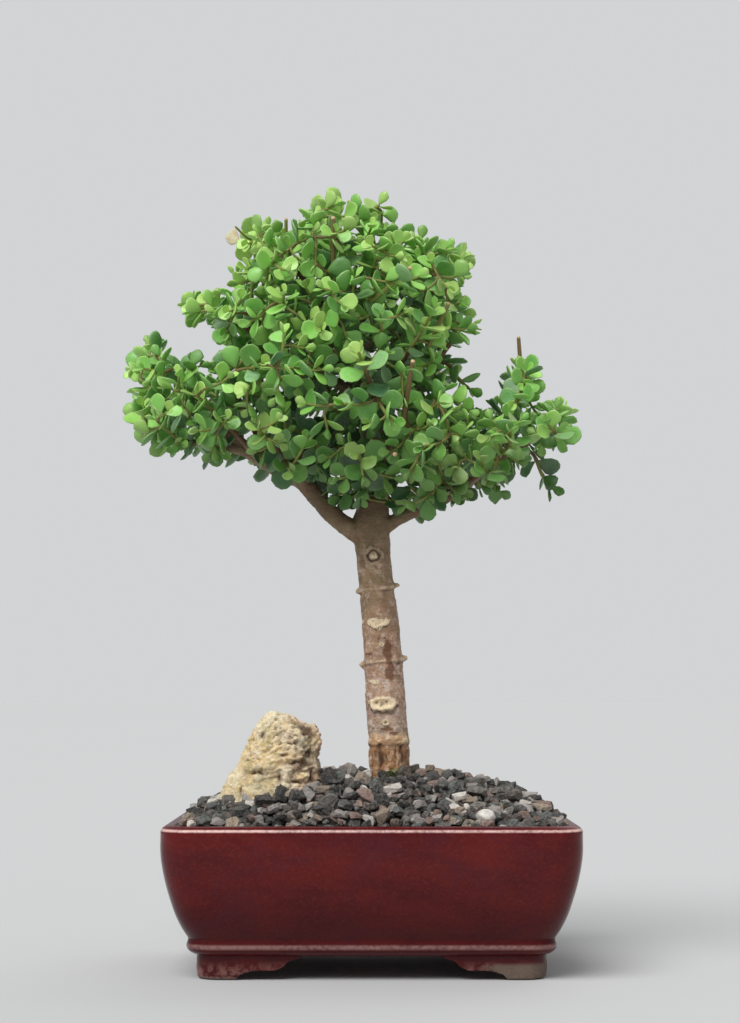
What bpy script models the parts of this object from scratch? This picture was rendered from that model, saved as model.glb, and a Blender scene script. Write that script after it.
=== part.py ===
"""Dwarf jade bonsai: a small succulent tree in a glazed rectangular pot, with gravel and a rock.

Sizes are in metres. The front of the pot faces -Y and +Z is up. Places in lists are in millimetres from
the middle of the ground under the pot, and at() turns them into metres. At the end every piece is shifted
so that the origin is on the ground under the middle of the whole tree.
"""

import math
import random

import bmesh
import bpy
from mathutils import Matrix, Vector
from mathutils.bvhtree import BVHTree

MM = 0.001
UP = Vector((0, 0, 1))
GAP = 0.3 * MM
SEAT_GAP = 0.39 * MM

# Pot: half sizes of its widest outline, and the plan radius of its corners there
POT_HALF_WIDTH = 127.5 * MM
POT_HALF_DEPTH = 93.0 * MM
POT_CORNER = 19.0 * MM
CORNER_TIGHTENING = 0.35
LEAST_CORNER = 8.0 * MM
CORNER_STEPS = 4
FLOOR_BOTTOM = 14.4 * MM
FLOOR_TOP = 23.5 * MM
# Outside and inside profiles: (inset from the widest outline, height) in millimetres, bottom to top
POT_OUTSIDE = [
    (20.5, 14.4), (17.2, 16.2), (15.2, 19.0), (15.2, 21.6), (16.3, 23.6), (15.6, 25.2), (12.2, 31.0),
    (8.6, 39.0), (5.4, 49.0), (3.0, 58.0), (1.0, 68.0), (0.0, 77.0), (0.3, 89.0), (1.3, 91.8),
    (3.6, 92.8), (7.4, 91.8),
]  # fmt: skip
POT_INSIDE = [
    (8.8, 86.0), (9.6, 72.0), (13.4, 53.0), (20.2, 36.0), (31.0, 23.5),
]  # fmt: skip
FOOT_PROFILE = [(23.4, 0.0), (21.6, 1.2), (20.9, 6.0), (21.2, 14.9), (34.0, 14.9), (34.5, 0.0)]
# Half outlines of the openings between the feet, with the lobes of the brackets: (from the middle, height)
# in millimetres, and how far each way their cutters run
FRONT_ARCH = [
    (82.0, -3.0), (82.0, 0.4), (79.4, 3.4), (72.0, 5.7), (58.0, 5.9), (53.4, 8.0), (50.2, 11.2),
    (44.0, 13.0), (36.5, 15.6),
]  # fmt: skip
SIDE_ARCH = [
    (60.0, -3.0), (60.0, 0.4), (57.4, 3.4), (51.0, 5.7), (44.0, 5.9), (39.4, 8.0), (36.2, 11.2),
    (32.0, 13.0), (25.0, 15.6),
]  # fmt: skip
ARCH_CUTTER_REACH = 160 * MM
DRAIN_HOLE_RADIUS = 8.0 * MM
DRAIN_HOLE_SIDES = 16
DRAIN_HOLE_OFFSET = 55.0 * MM
SCREEN_SIDE = 26.0 * MM
SCREEN_THICK = 1.2 * MM
SCREEN_HOLES = 2
SCREEN_HOLE_SIDE = 7.4 * MM
SCREEN_PITCH = 10.8 * MM

# Soil and gravel: a mound whose top is at the trunk's foot
TRUNK_FOOT = (11.8, 2.0)
FOOT_DEPTH = 75.7 * MM
FOOT_ROWS = 5
MOUND_EDGE = 91.3 * MM
MOUND_RISE = 29.5 * MM
MOUND_SQUARENESS = 3
MOUND_ROUNDNESS = 0.8
MOUND_STEPS = 4
WALL_INSET = 9.0 * MM
WALL_GAP = 0.45 * MM
GRAVEL_THICK = 10.0 * MM
GRAIN_PITCH = 10.2 * MM
GRAIN_SHIFT = 2.3 * MM
GRAIN_PEAK = (3.4, 6.0)
GRAIN_HOLLOW = (-2.4, 0.4)
GRAVEL_SEED = 11

# Rock: rings as (share of the height, left side, right side) in millimetres, seen from the front
ROCK_RINGS = [
    (0.0, -91.5, -34.0), (0.12, -94.8, -31.4), (0.25, -93.2, -32.0), (0.35, -92.2, -31.0),
    (0.44, -88.8, -32.2), (0.53, -85.5, -31.2), (0.63, -80.4, -32.2), (0.73, -78.0, -34.0),
    (0.82, -75.2, -37.6), (0.90, -71.6, -43.0), (0.96, -68.2, -48.2), (1.0, -64.6, -54.8),
]  # fmt: skip
ROCK_TOP = 160.6 * MM
ROCK_HALF_DEPTH = 20.2
ROCK_LEAST_DEPTH = 3.0
ROCK_TAPER = 2.6
ROCK_MIDDLE_Y = -27.0
ROCK_LEAN_BACK = 5.0
ROCK_SQUARENESS = 0.8
ROCK_KNOCKS = (-0.20, 0.08)
ROCK_SIDE_KNOCK = 0.3
ROCK_SHIFT = 1.8
ROCK_RIPPLE = 1.4 * MM
ROCK_SIDES = 12
ROCK_SINK = 5.5 * MM
ROCK_SEED = 5
PEBBLE_PLACE = (69.0, -75.0)
PEBBLE_RADII = (6.2, 5.0, 4.4)
PEBBLE_LIFT = 2.4 * MM
PEBBLE_ROUGHNESS = 0.1

# Trunk: (x, y, height, radius) in millimetres, from the foot in the soil up into the crown
TRUNK = [
    (12.2, 2.0, 76.0, 12.4), (12.0, 2.0, 90.0, 13.6), (12.0, 2.0, 112.0, 14.4), (11.8, 2.0, 124.0, 13.5),
    (11.2, 2.0, 136.5, 13.3), (11.0, 2.0, 140.6, 14.7), (10.8, 2.0, 144.5, 13.2), (9.6, 2.2, 158.0, 13.3),
    (8.8, 2.4, 174.0, 13.0), (7.8, 2.6, 188.5, 13.0), (7.6, 2.7, 192.4, 14.5), (7.2, 2.8, 196.4, 12.6),
    (6.2, 3.0, 210.0, 12.5), (5.0, 3.2, 224.0, 11.9), (3.8, 3.4, 235.0, 11.7), (3.5, 3.5, 239.0, 13.2),
    (3.0, 3.6, 243.0, 11.6), (1.6, 3.8, 256.0, 11.6), (0.4, 4.0, 268.0, 11.9), (-0.6, 4.2, 279.0, 12.6),
    (0.8, 4.6, 290.0, 11.2), (1.8, 5.2, 302.0, 9.8), (1.6, 6.2, 322.0, 8.8), (0.0, 8.0, 345.0, 7.8),
    (-3.6, 9.0, 372.0, 6.4), (-7.6, 8.2, 400.0, 4.9), (-10.4, 6.6, 424.0, 3.4), (-12.4, 6.0, 440.0, 2.4),
]  # fmt: skip
TRUNK_SIDES = 9
TRUNK_SEAT_ROWS = 6
TRUNK_SEAT_GAP = 0.6 * MM
LEFT_LIMB = [
    (0.0, 3.0, 268.0, 6.4), (-12.0, 1.2, 276.5, 6.2), (-24.0, 0.0, 285.5, 5.9), (-34.0, -0.6, 296.0, 5.6),
    (-44.0, -1.0, 307.0, 5.4), (-60.0, -1.0, 315.5, 4.9), (-72.0, -2.0, 322.0, 4.3),
    (-84.0, -4.0, 330.0, 3.6),
]  # fmt: skip
RIGHT_LIMB = [
    (1.0, 4.0, 273.0, 4.8), (12.0, 2.4, 281.0, 4.6), (24.6, 1.0, 287.8, 4.3), (42.8, 0.0, 294.6, 4.0),
    (58.2, 1.0, 305.0, 3.6), (76.0, 2.0, 318.0, 3.0),
]  # fmt: skip
LIMB_STEP = 13
LEFT_LIMB_SIDES = 7
RIGHT_LIMB_SIDES = 6
# Buds at the ends of the node ridges: (x, y, height, bearing from +X in degrees)
BUDS = [(-8.6, 3.0, 237.5, 176), (15.6, 3.2, 241.0, 4), (-6.2, 2.6, 190.0, 182), (21.4, 2.4, 194.5, 2),
        (25.2, 1.6, 141.0, -4), (-3.2, 1.8, 139.6, 184)]  # fmt: skip
# A bud's rows as (reach from its place, radius), its number of sides, and how far it points up
BUD_ROWS = [(-4.0, 2.2), (0.6, 1.9), (2.6, 0.9)]
BUD_SIDES = 4
BUD_RISE = 0.35
# Pruning scars on the front of the trunk: (x, height, radius, how far it stands out)
SCARS = [(0.6, 261.0, 5.6, 2.2), (5.6, 214.5, 5.0, 1.4), (6.9, 165.8, 5.4, 3.0), (6.0, 180.0, 2.6, 0.9)]
SCAR_SIDES = 8
SCAR_FRONT = -8.1
# A scar's rings as (share of its radius, depth along its axis, and how much of its lip's height is added)
SCAR_RINGS = [(1.0, -5.0, 0), (1.0, -0.6, 1), (0.72, 0.0, 1), (0.5, -1.2, 1)]
SCAR_FLATTEN = 0.85

# Leafy branches: name, points from the wood that carries them to their tip, radius at the start, and the
# share of their length that is bare wood in the trunk's piece
BRANCHES = [
    ("crown_top", [(-12.2, 6.0, 438), (-20, 4, 460), (-29, 2, 488)], 2.5, 0.10),
    ("crown_top_front", [(-8.0, 8, 404), (-3, -12, 424), (3, -42, 446)], 3.0, 0.34),
    ("crown_top_back", [(-9.0, 7.4, 412), (-12, 26, 434), (-15, 51, 464)], 3.0, 0.34),
    ("upper_left", [(-7.4, 8.2, 398), (-28, 2, 422), (-50, -6, 446), (-72, -6, 470)], 3.4, 0.34),
    ("upper_right", [(-6.8, 8.4, 394), (12, 3, 414), (34, -4, 434), (58, -6, 454)], 3.4, 0.34),
    ("upper_back_left", [(-5.6, 8.6, 386), (-26, 28, 406), (-50, 63, 438)], 3.4, 0.36),
    ("upper_back_right", [(-5.0, 8.8, 382), (14, 35, 402), (38, 65, 436)], 3.4, 0.36),
    ("middle_left", [(-2.4, 8.8, 362), (-32, 2, 378), (-66, -8, 398), (-108, -6, 422)], 4.2, 0.36),
    ("middle_right", [(-0.6, 8.2, 350), (20, 4, 364), (42, 0, 386), (62, 0, 414)], 3.8, 0.36),
    ("front_high_left", [(-4.6, 8.8, 378), (-22, -16, 386), (-40, -63, 402)], 3.4, 0.38),
    ("front_middle", [(1.0, 6.8, 332), (3, -22, 346), (0, -58, 360), (-8, -93, 378)], 4.2, 0.40),
    ("front_high_right", [(-2.6, 8.6, 366), (14, -16, 376), (32, -58, 398)], 3.4, 0.38),
    ("front_right", [(1.4, 6.6, 326), (22, -20, 338), (42, -60, 352)], 3.6, 0.38),
    ("front_low_left", [(-42, -1.0, 305), (-52, -26, 318), (-70, -67, 334)], 3.4, 0.34),
    ("front_low", [(1.8, 5.6, 306), (-2, -24, 310), (-8, -72, 318)], 3.6, 0.40),
    ("left_end", [(-84, -4.0, 330), (-104, -6, 346), (-128, -6, 358), (-151, -2, 375)], 3.4, 0.10),
    ("left_low", [(-80, -3.4, 327.3), (-104, -14, 330), (-126, -18, 334), (-144, -16, 342)], 3.0, 0.20),
    ("left_front", [(-70, -1.8, 321), (-86, -24, 336), (-110, -53, 358)], 3.0, 0.28),
    ("left_back", [(-74, -2.2, 323.4), (-90, 22, 338), (-114, 51, 362)], 3.0, 0.28),
    ("left_high", [(-62, -1.2, 316.6), (-78, 4, 346), (-98, 10, 388)], 3.0, 0.26),
    ("right_end", [(75, 2.0, 317.4), (94, 5, 330), (112, 6, 340), (126, 6, 354)], 2.9, 0.10),
    ("right_high", [(64, 1.4, 309.4), (80, 4, 336), (96, 2, 382)], 2.8, 0.28),
    ("right_front", [(56, 0.8, 303.6), (70, -20, 312), (86, -44, 326)], 2.8, 0.28),
    ("right_low", [(41, 0.2, 294.2), (46, -20, 300), (42, -49, 314)], 2.8, 0.28),
    ("right_back", [(60, 1.2, 306.4), (76, 24, 322), (94, 56, 346)], 2.8, 0.28),
    ("back_middle", [(0.8, 7.4, 336), (-2, 42, 350), (-8, 95, 374)], 4.2, 0.38),
    ("back_left", [(-3.0, 9.0, 368), (-32, 44, 380), (-62, 84, 398)], 3.8, 0.36),
    ("back_right", [(-1.4, 8.6, 356), (24, 42, 370), (52, 86, 394)], 3.8, 0.36),
    ("back_low", [(1.9, 5.8, 312), (6, 39, 318), (6, 84, 328)], 3.6, 0.38),
    ("back_low_left", [(-50, -1.0, 310.2), (-62, 26, 320), (-78, 72, 340)], 3.4, 0.30),
    ("back_low_right", [(50, 0.6, 299.6), (54, 26, 308), (52, 72, 322)], 2.8, 0.28),
]  # fmt: skip
TIP_RADIUS = 0.9 * MM
BRANCH_TAPER = 0.8
BRANCH_STEP = 12
BRANCH_SIDES = 3
LIMB_SIDES = 4

# The crown's heart, and its outline as clouds: (middle, half sizes), all in millimetres
CROWN_HEART = (-8, 4, 350)
CLOUDS = [
    ((-8, 2, 390), (80, 104, 102)),
    ((-104, -2, 374), (54, 68, 56)),
    ((96, 4, 346), (40, 60, 52)),
    ((-14, 2, 336), (78, 96, 42)),
]
SIDE_SHOOTS = 27
SHOOT_TRIES = 60
SHOOT_LENGTH = (25.0 * MM, 36.0 * MM)
SHOOT_PLACES = (0.15, 0.7)
SHOOT_RADIUS = 1.15 * MM
SHOOT_STEPS = 3
TIP_SPACING = 42.0 * MM
# How a shoot's direction is blended: away from the crown's heart, upwards, and along its branch
SHOOT_OUTWARD = 0.55
SHOOT_UPWARD = 0.2
SHOOT_ALONG = 0.25
# What a tip outside the crown's outline, or one deep inside it, takes from its score
OUTSIDE_COST = 3
INSIDE_COST = 0.35
# A shoot's curve: how far its two bends lie from its ends, and which ways they pull
BEND_REACH = 0.35
LEAVE_ALONG = 0.45
LEAVE_OUTWARD = 0.55
TIP_FORWARD = 0.8
TIP_UPWARD = 0.3
GROWTH_SEED = 21

# Leaves: length of a full leaf, its thickness, and the pairs of a shoot counted back from its tip as
# (distance from the tip, share of a full leaf's length, angle from the shoot in degrees)
LEAF_LENGTH = 17.2 * MM
LEAF_THICK = 1.9 * MM
LEAF_PAIRS = [(1.0, 0.60, 38.0), (8.5, 0.88, 60.0), (19.5, 1.03, 72.0), (31.5, 1.07, 80.0)]
MAIN_PAIRS = 4
SHOOT_PAIRS = 3
LEAF_OUTLINE = [(0.0, 0.01), (0.29, 0.30), (0.43, 0.66), (0.21, 0.98), (-0.21, 0.98), (-0.43, 0.66),
                (-0.29, 0.30)]  # fmt: skip
LEAF_KEEL = 0.5
LEAF_CUP = 0.07
LEAF_CLEAR = 0.5 * MM
LEAF_STALK = 0.34
LEAF_ROLL = 14
LEAF_WOBBLE = 9
LEAF_SPREAD = 8
LEAF_SIZES = (0.88, 1.1)
# Ways to bend a leaf clear of its neighbours: (degrees round the shoot, degrees away from it, size)
LEAF_BENDS = [(0, 0, 1), (14, 0, 1), (-14, 0, 1), (0, -14, 1), (0, 12, 1), (28, 0, 0.95), (-28, 0, 0.95),
              (20, -16, 0.9), (-20, -16, 0.9), (0, -26, 0.85), (38, -8, 0.8), (-38, -8, 0.8),
              (0, 22, 0.8), (30, 20, 0.75), (-30, 20, 0.75), (0, -34, 0.7)]  # fmt: skip

# Colours from the photo, as (red, green, blue), with roughness
FINISHES = {
    "glaze": ((0.190, 0.016, 0.012), 0.22),
    "gravel": ((0.130, 0.118, 0.112), 0.85),
    "soil": ((0.050, 0.034, 0.024), 0.95),
    "quartz": ((0.640, 0.600, 0.540), 0.45),
    "limestone": ((0.560, 0.430, 0.250), 0.80),
    "bark": ((0.270, 0.170, 0.105), 0.75),
    "foliage": ((0.085, 0.250, 0.035), 0.40),
    "screen_plastic": ((0.020, 0.020, 0.020), 0.50),
}


def at(x, y, z):
    """A place given in millimetres."""
    return Vector((x, y, z)) * MM


def clear_scene():
    for obj in list(bpy.data.objects):
        bpy.data.objects.remove(obj, do_unlink=True)


def finish_material(name):
    """One Principled material for each finish, made once."""
    material = bpy.data.materials.get(name)
    if material is None:
        colour, roughness = FINISHES[name]
        material = bpy.data.materials.new(name)
        material.use_nodes = True
        shader = material.node_tree.nodes["Principled BSDF"]
        shader.inputs["Base Color"].default_value = (*colour, 1.0)
        shader.inputs["Roughness"].default_value = roughness
        shader.inputs["Metallic"].default_value = 0.0
    return material


def new_object(name, points, faces, finish="bark"):
    mesh = bpy.data.meshes.new(name)
    mesh.from_pydata([tuple(p) for p in points], [], [tuple(f) for f in faces])
    mesh.validate()
    mesh.materials.append(finish_material(finish))
    obj = bpy.data.objects.new(name, mesh)
    bpy.context.scene.collection.objects.link(obj)
    return obj


def loft(rings, closed=False):
    """Points and faces of a skin over rings of equal point counts, capped at its ends or closed on itself."""
    count = len(rings[0])
    points = [p for ring in rings for p in ring]
    faces = []
    spans = len(rings) if closed else len(rings) - 1
    for i in range(spans):
        low = i * count
        high = (i + 1) % len(rings) * count
        for j in range(count):
            k = (j + 1) % count
            faces.append((low + j, low + k, high + k, high + j))
    if not closed:
        faces.append(tuple(reversed(range(count))))
        last = (len(rings) - 1) * count
        faces.append(tuple(range(last, last + count)))
    return points, faces


def split_quads(points, faces, other_way=False):
    """Splits each quad along one diagonal or the other, so that two facing surfaces have the same facets."""
    triangles = []
    for face in faces:
        if len(face) != 4:
            triangles.append(face)
        elif other_way:
            a, b, c, d = face
            triangles += [(a, b, d), (b, c, d)]
        else:
            a, b, c, d = face
            triangles += [(a, b, c), (a, c, d)]
    return points, triangles


def smooth_by_angle(obj, degrees):
    obj.data.shade_smooth()
    obj.data.set_sharp_from_angle(angle=math.radians(degrees))


def apply_modifiers(obj):
    graph = bpy.context.evaluated_depsgraph_get()
    mesh = bpy.data.meshes.new_from_object(obj.evaluated_get(graph))
    obj.modifiers.clear()
    old = obj.data
    obj.data = mesh
    bpy.data.meshes.remove(old)


def combine(obj, others, operation, solver="EXACT"):
    """Joins or cuts obj with all the others by one Boolean, then removes them."""
    group = bpy.data.collections.new(obj.name + "_" + operation.lower())
    bpy.context.scene.collection.children.link(group)
    for other in others:
        group.objects.link(other)
    boolean = obj.modifiers.new(operation.title(), "BOOLEAN")
    boolean.operation = operation
    boolean.operand_type = "COLLECTION"
    boolean.collection = group
    boolean.solver = solver
    bpy.context.view_layer.update()
    apply_modifiers(obj)
    for other in others:
        bpy.data.objects.remove(other, do_unlink=True)
    bpy.data.collections.remove(group)
    return obj


def keep_largest_body(obj):
    """Drops loose scraps and fills sealed hollows: both are smaller shells beside the largest one."""
    form = bmesh.new()
    form.from_mesh(obj.data)
    unseen = set(form.verts)
    bodies = []
    while unseen:
        edge_of_search = [unseen.pop()]
        body = list(edge_of_search)
        while edge_of_search:
            for edge in edge_of_search.pop().link_edges:
                for vert in edge.verts:
                    if vert in unseen:
                        unseen.remove(vert)
                        edge_of_search.append(vert)
                        body.append(vert)
        bodies.append(body)
    bodies.sort(key=len)
    for body in bodies[:-1]:
        bmesh.ops.delete(form, geom=body, context="VERTS")
    form.to_mesh(obj.data)
    form.free()


def rounded_rectangle(inset, height):
    """The pot's outline in plan, that far inside the widest one, from the middle of the right side round."""
    half_x = POT_HALF_WIDTH - inset
    half_y = POT_HALF_DEPTH - inset
    radius = max(POT_CORNER - CORNER_TIGHTENING * inset, LEAST_CORNER)
    ring = []
    for quarter, (sx, sy) in enumerate([(1, 1), (-1, 1), (-1, -1), (1, -1)]):
        for step in range(CORNER_STEPS + 1):
            angle = math.radians(90 * (quarter + step / CORNER_STEPS))
            x = sx * (half_x - radius) + radius * math.cos(angle)
            y = sy * (half_y - radius) + radius * math.sin(angle)
            ring.append(Vector((x, y, height)))
    return ring


def profile_rings(profile, inset=0.0):
    return [rounded_rectangle(side * MM + inset, height * MM) for side, height in profile]


def prism(name, outline, half_length, along_x=False):
    """A cutter with that outline of (across, height) in metres, from -half_length to +half_length."""
    rings = []
    for end in (half_length, -half_length):
        if along_x:
            rings.append([Vector((-end, across, height)) for across, height in outline])
        else:
            rings.append([Vector((across, end, height)) for across, height in outline])
    return new_object(name, *loft(rings), "glaze")


def arch_cutter(name, half_outline, along_x):
    right = [(x * MM, z * MM) for x, z in half_outline]
    left = [(-x, z) for x, z in reversed(right)]
    return prism(name, right + left, ARCH_CUTTER_REACH, along_x)


def drain_cutter(x):
    """An upright cylinder through the pot's floor, at that x."""
    turns = [math.tau * i / DRAIN_HOLE_SIDES for i in range(DRAIN_HOLE_SIDES)]
    rings = []
    for height in (FLOOR_BOTTOM - 5 * MM, FLOOR_TOP + 5 * MM):
        rings.append([Vector((x + DRAIN_HOLE_RADIUS * math.cos(a), DRAIN_HOLE_RADIUS * math.sin(a), height))
                      for a in turns])  # fmt: skip
    return new_object("drain", *loft(rings), "glaze")


def make_pot():
    pot = new_object("pot", *loft(profile_rings(POT_OUTSIDE + POT_INSIDE)), "glaze")
    feet = new_object("feet", *loft(profile_rings(FOOT_PROFILE), closed=True), "glaze")
    arches = [arch_cutter("front_arch", FRONT_ARCH, False), arch_cutter("side_arch", SIDE_ARCH, True)]
    combine(feet, arches, "DIFFERENCE")
    combine(pot, [feet], "UNION")
    combine(pot, [drain_cutter(-DRAIN_HOLE_OFFSET), drain_cutter(DRAIN_HOLE_OFFSET)], "DIFFERENCE")
    smooth_by_angle(pot, 35)
    return pot


def box_object(name, low, high, finish):
    corners = [[Vector((x, y, z)) for x, y in
                ((low[0], low[1]), (high[0], low[1]), (high[0], high[1]), (low[0], high[1]))]
               for z in (low[2], high[2])]  # fmt: skip
    return new_object(name, *loft(corners), finish)


def make_screen(name, x):
    """A square plastic mesh plate over one drain hole."""
    half = SCREEN_SIDE / 2
    low = FLOOR_TOP + GAP
    plate = box_object(name, (x - half, -half, low), (x + half, half, low + SCREEN_THICK), "screen_plastic")
    holes = []
    half_hole = SCREEN_HOLE_SIDE / 2
    for i in range(SCREEN_HOLES):
        for j in range(SCREEN_HOLES):
            hole_x = x + (i - (SCREEN_HOLES - 1) / 2) * SCREEN_PITCH
            hole_y = (j - (SCREEN_HOLES - 1) / 2) * SCREEN_PITCH
            holes.append(box_object("hole", (hole_x - half_hole, hole_y - half_hole, low - MM),
                                    (hole_x + half_hole, hole_y + half_hole, low + SCREEN_THICK + MM),
                                    "screen_plastic"))  # fmt: skip
    return combine(plate, holes, "DIFFERENCE")


def mound(x, y):
    """Height of the gravel: highest at the trunk, falling to the pot's rim all round."""
    foot_x, foot_y = TRUNK_FOOT[0] * MM, TRUNK_FOOT[1] * MM
    inner_x = POT_HALF_WIDTH - WALL_INSET
    inner_y = POT_HALF_DEPTH - WALL_INSET
    reach_x = inner_x - foot_x if x > foot_x else inner_x + foot_x
    reach_y = inner_y - foot_y if y > foot_y else inner_y + foot_y
    across = abs((x - foot_x) / reach_x) ** MOUND_SQUARENESS + abs((y - foot_y) / reach_y) ** MOUND_SQUARENESS
    share = min(1.0, across ** (1 / MOUND_SQUARENESS))
    return MOUND_EDGE + MOUND_RISE * (1 - share * share) ** MOUND_ROUNDNESS


def mound_rings(drop, inset):
    """Rings of the mound's surface, lowered by drop, from the pot's wall in to the trunk's foot."""
    edge = rounded_rectangle(inset, 0)
    count = len(edge)
    hole = max(row[3] for row in TRUNK[:FOOT_ROWS]) * MM + 2 * GAP
    foot = []
    for i in range(count):
        bearing = math.tau * (i + 0.5) / count
        foot.append(Vector((TRUNK_FOOT[0] * MM + hole * math.cos(bearing),
                            TRUNK_FOOT[1] * MM + hole * math.sin(bearing), 0)))  # fmt: skip
    rings = []
    for step in range(MOUND_STEPS + 1):
        ring = [edge[i].lerp(foot[i], step / MOUND_STEPS) for i in range(count)]
        rings.append([Vector((p.x, p.y, mound(p.x, p.y) - drop)) for p in ring])
    return rings


def triangulate(obj):
    form = bmesh.new()
    form.from_mesh(obj.data)
    bmesh.ops.triangulate(form, faces=form.faces)
    form.to_mesh(obj.data)
    form.free()


def make_soil():
    """Soil that fills the pot under the gravel, with pockets for the screens and a hole for the trunk."""
    edge_height = (MOUND_EDGE - GRAVEL_THICK) / MM
    sides = [(side, height) for side, height in reversed(POT_INSIDE) if height < edge_height]
    rings = profile_rings(sides, WALL_GAP)
    for point in rings[0]:
        point.z = FLOOR_TOP + GAP
    tops = mound_rings(GRAVEL_THICK, WALL_INSET + WALL_GAP)
    hole_floor = [Vector((p.x, p.y, FOOT_DEPTH)) for p in tops[-1]]
    soil = new_object("soil", *split_quads(*loft(rings + tops + [hole_floor])), "soil")
    half = SCREEN_SIDE / 2 + GAP
    pockets = []
    for side in (-1, 1):
        x = side * DRAIN_HOLE_OFFSET
        pockets.append(box_object("pocket", (x - half, -half, FLOOR_TOP - MM),
                                  (x + half, half, FLOOR_TOP + SCREEN_THICK + 2 * GAP), "soil"))  # fmt: skip
    return combine(soil, pockets, "DIFFERENCE")


def stone_points(centre, radii, roughness, draw):
    """A small angular stone: an icosahedron with its corners pushed in and out at random."""
    form = bmesh.new()
    bmesh.ops.create_icosphere(form, subdivisions=1, radius=1.0)
    axis = [draw.uniform(0, math.tau), Vector([draw.gauss(0, 1) for _ in range(3)]).normalized()]
    turn = Matrix.Rotation(axis[0], 3, axis[1])
    points = []
    for vert in form.verts:
        push = vert.co * draw.uniform(1 - roughness, 1 + roughness)
        points.append(centre + turn @ Vector([push[i] * radii[i] for i in range(3)]))
    faces = [tuple(v.index for v in face.verts) for face in form.faces]
    form.free()
    return points, faces


def gravel_relief(draw):
    """A slab whose top is a field of angular grains: each is a peak in a ring of six hollows."""
    columns = int(2.3 * POT_HALF_WIDTH / GRAIN_PITCH)
    rows = int(2.3 * POT_HALF_DEPTH / (GRAIN_PITCH * math.sin(math.pi / 3)))
    points = []
    for j in range(rows + 1):
        for i in range(columns + 1):
            x = (i - columns / 2 + 0.5 * (j % 2)) * GRAIN_PITCH + draw.uniform(-1, 1) * GRAIN_SHIFT
            y = (j - rows / 2) * GRAIN_PITCH * math.sin(math.pi / 3) + draw.uniform(-1, 1) * GRAIN_SHIFT
            is_peak = (i - j // 2 - j) % 3 == 0
            lift = draw.uniform(*(GRAIN_PEAK if is_peak else GRAIN_HOLLOW))
            points.append(Vector((x, y, mound(x, y) + lift * MM)))
    faces = []
    for j in range(rows):
        for i in range(columns):
            a = j * (columns + 1) + i
            b, c, d = a + 1, a + columns + 1, a + columns + 2
            faces += [(a, b, c), (b, d, c)] if j % 2 == 0 else [(a, b, d), (a, d, c)]
    slab = new_object("gravel", points, faces, "gravel")
    form = bmesh.new()
    form.from_mesh(slab.data)
    border = [edge for edge in form.edges if edge.is_boundary]
    walls = bmesh.ops.extrude_edge_only(form, edges=border)["geom"]
    low = [item for item in walls if isinstance(item, bmesh.types.BMVert)]
    for vert in low:
        vert.co.z = MOUND_EDGE - 3 * GRAVEL_THICK
    bmesh.ops.contextual_create(form, geom=[edge for edge in form.edges if edge.is_boundary])
    bmesh.ops.recalc_face_normals(form, faces=form.faces)
    form.to_mesh(slab.data)
    form.free()
    return slab


def gravel_room():
    """The space that the gravel fills: over the soil and inside the pot's wall."""
    bottom = list(reversed(mound_rings(GRAVEL_THICK - GAP, WALL_INSET + WALL_GAP)))
    top = [Vector((p.x, p.y, MOUND_EDGE + 2 * MOUND_RISE)) for p in bottom[-1]]
    return new_object("gravel_room", *split_quads(*loft(bottom + [top]), other_way=True), "gravel")


def make_gravel(guards):
    draw = random.Random(GRAVEL_SEED)
    gravel = gravel_relief(draw)
    combine(gravel, [gravel_room()], "INTERSECT")
    combine(gravel, guards, "DIFFERENCE")
    keep_largest_body(gravel)
    return gravel


def rock_mesh():
    """Points and faces of the rock, whose underside follows the mound's slope."""
    draw = random.Random(ROCK_SEED)
    rings = []
    for rise, left, right in ROCK_RINGS:
        half_depth = ROCK_HALF_DEPTH * (1 - rise**ROCK_TAPER) ** 0.5 + ROCK_LEAST_DEPTH
        middle_y = ROCK_MIDDLE_Y + ROCK_LEAN_BACK * rise
        ring = []
        for side in range(ROCK_SIDES):
            angle = math.tau * side / ROCK_SIDES
            to_side = math.copysign(abs(math.cos(angle)) ** ROCK_SQUARENESS, math.cos(angle))
            to_back = math.copysign(abs(math.sin(angle)) ** ROCK_SQUARENESS, math.sin(angle))
            faces_front = ROCK_SIDE_KNOCK + (1 - ROCK_SIDE_KNOCK) * abs(math.sin(angle))
            knock = 1.0 + draw.uniform(*ROCK_KNOCKS) * faces_front
            x = (left + right) / 2 + (right - left) / 2 * to_side + draw.uniform(-ROCK_SHIFT, ROCK_SHIFT)
            point = at(x, middle_y + half_depth * knock * to_back, 0)
            foot = mound(point.x, point.y) - ROCK_SINK
            point.z = foot + (ROCK_TOP - foot) * rise
            if rise > 0:
                point.z += draw.uniform(-ROCK_RIPPLE, ROCK_RIPPLE)
            ring.append(point)
        rings.append(ring)
    return loft(rings)


def pebble_mesh():
    draw = random.Random(ROCK_SEED)
    x, y = PEBBLE_PLACE[0] * MM, PEBBLE_PLACE[1] * MM
    centre = Vector((x, y, mound(x, y) + PEBBLE_LIFT))
    return stone_points(centre, [r * MM for r in PEBBLE_RADII], PEBBLE_ROUGHNESS, draw)


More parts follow.
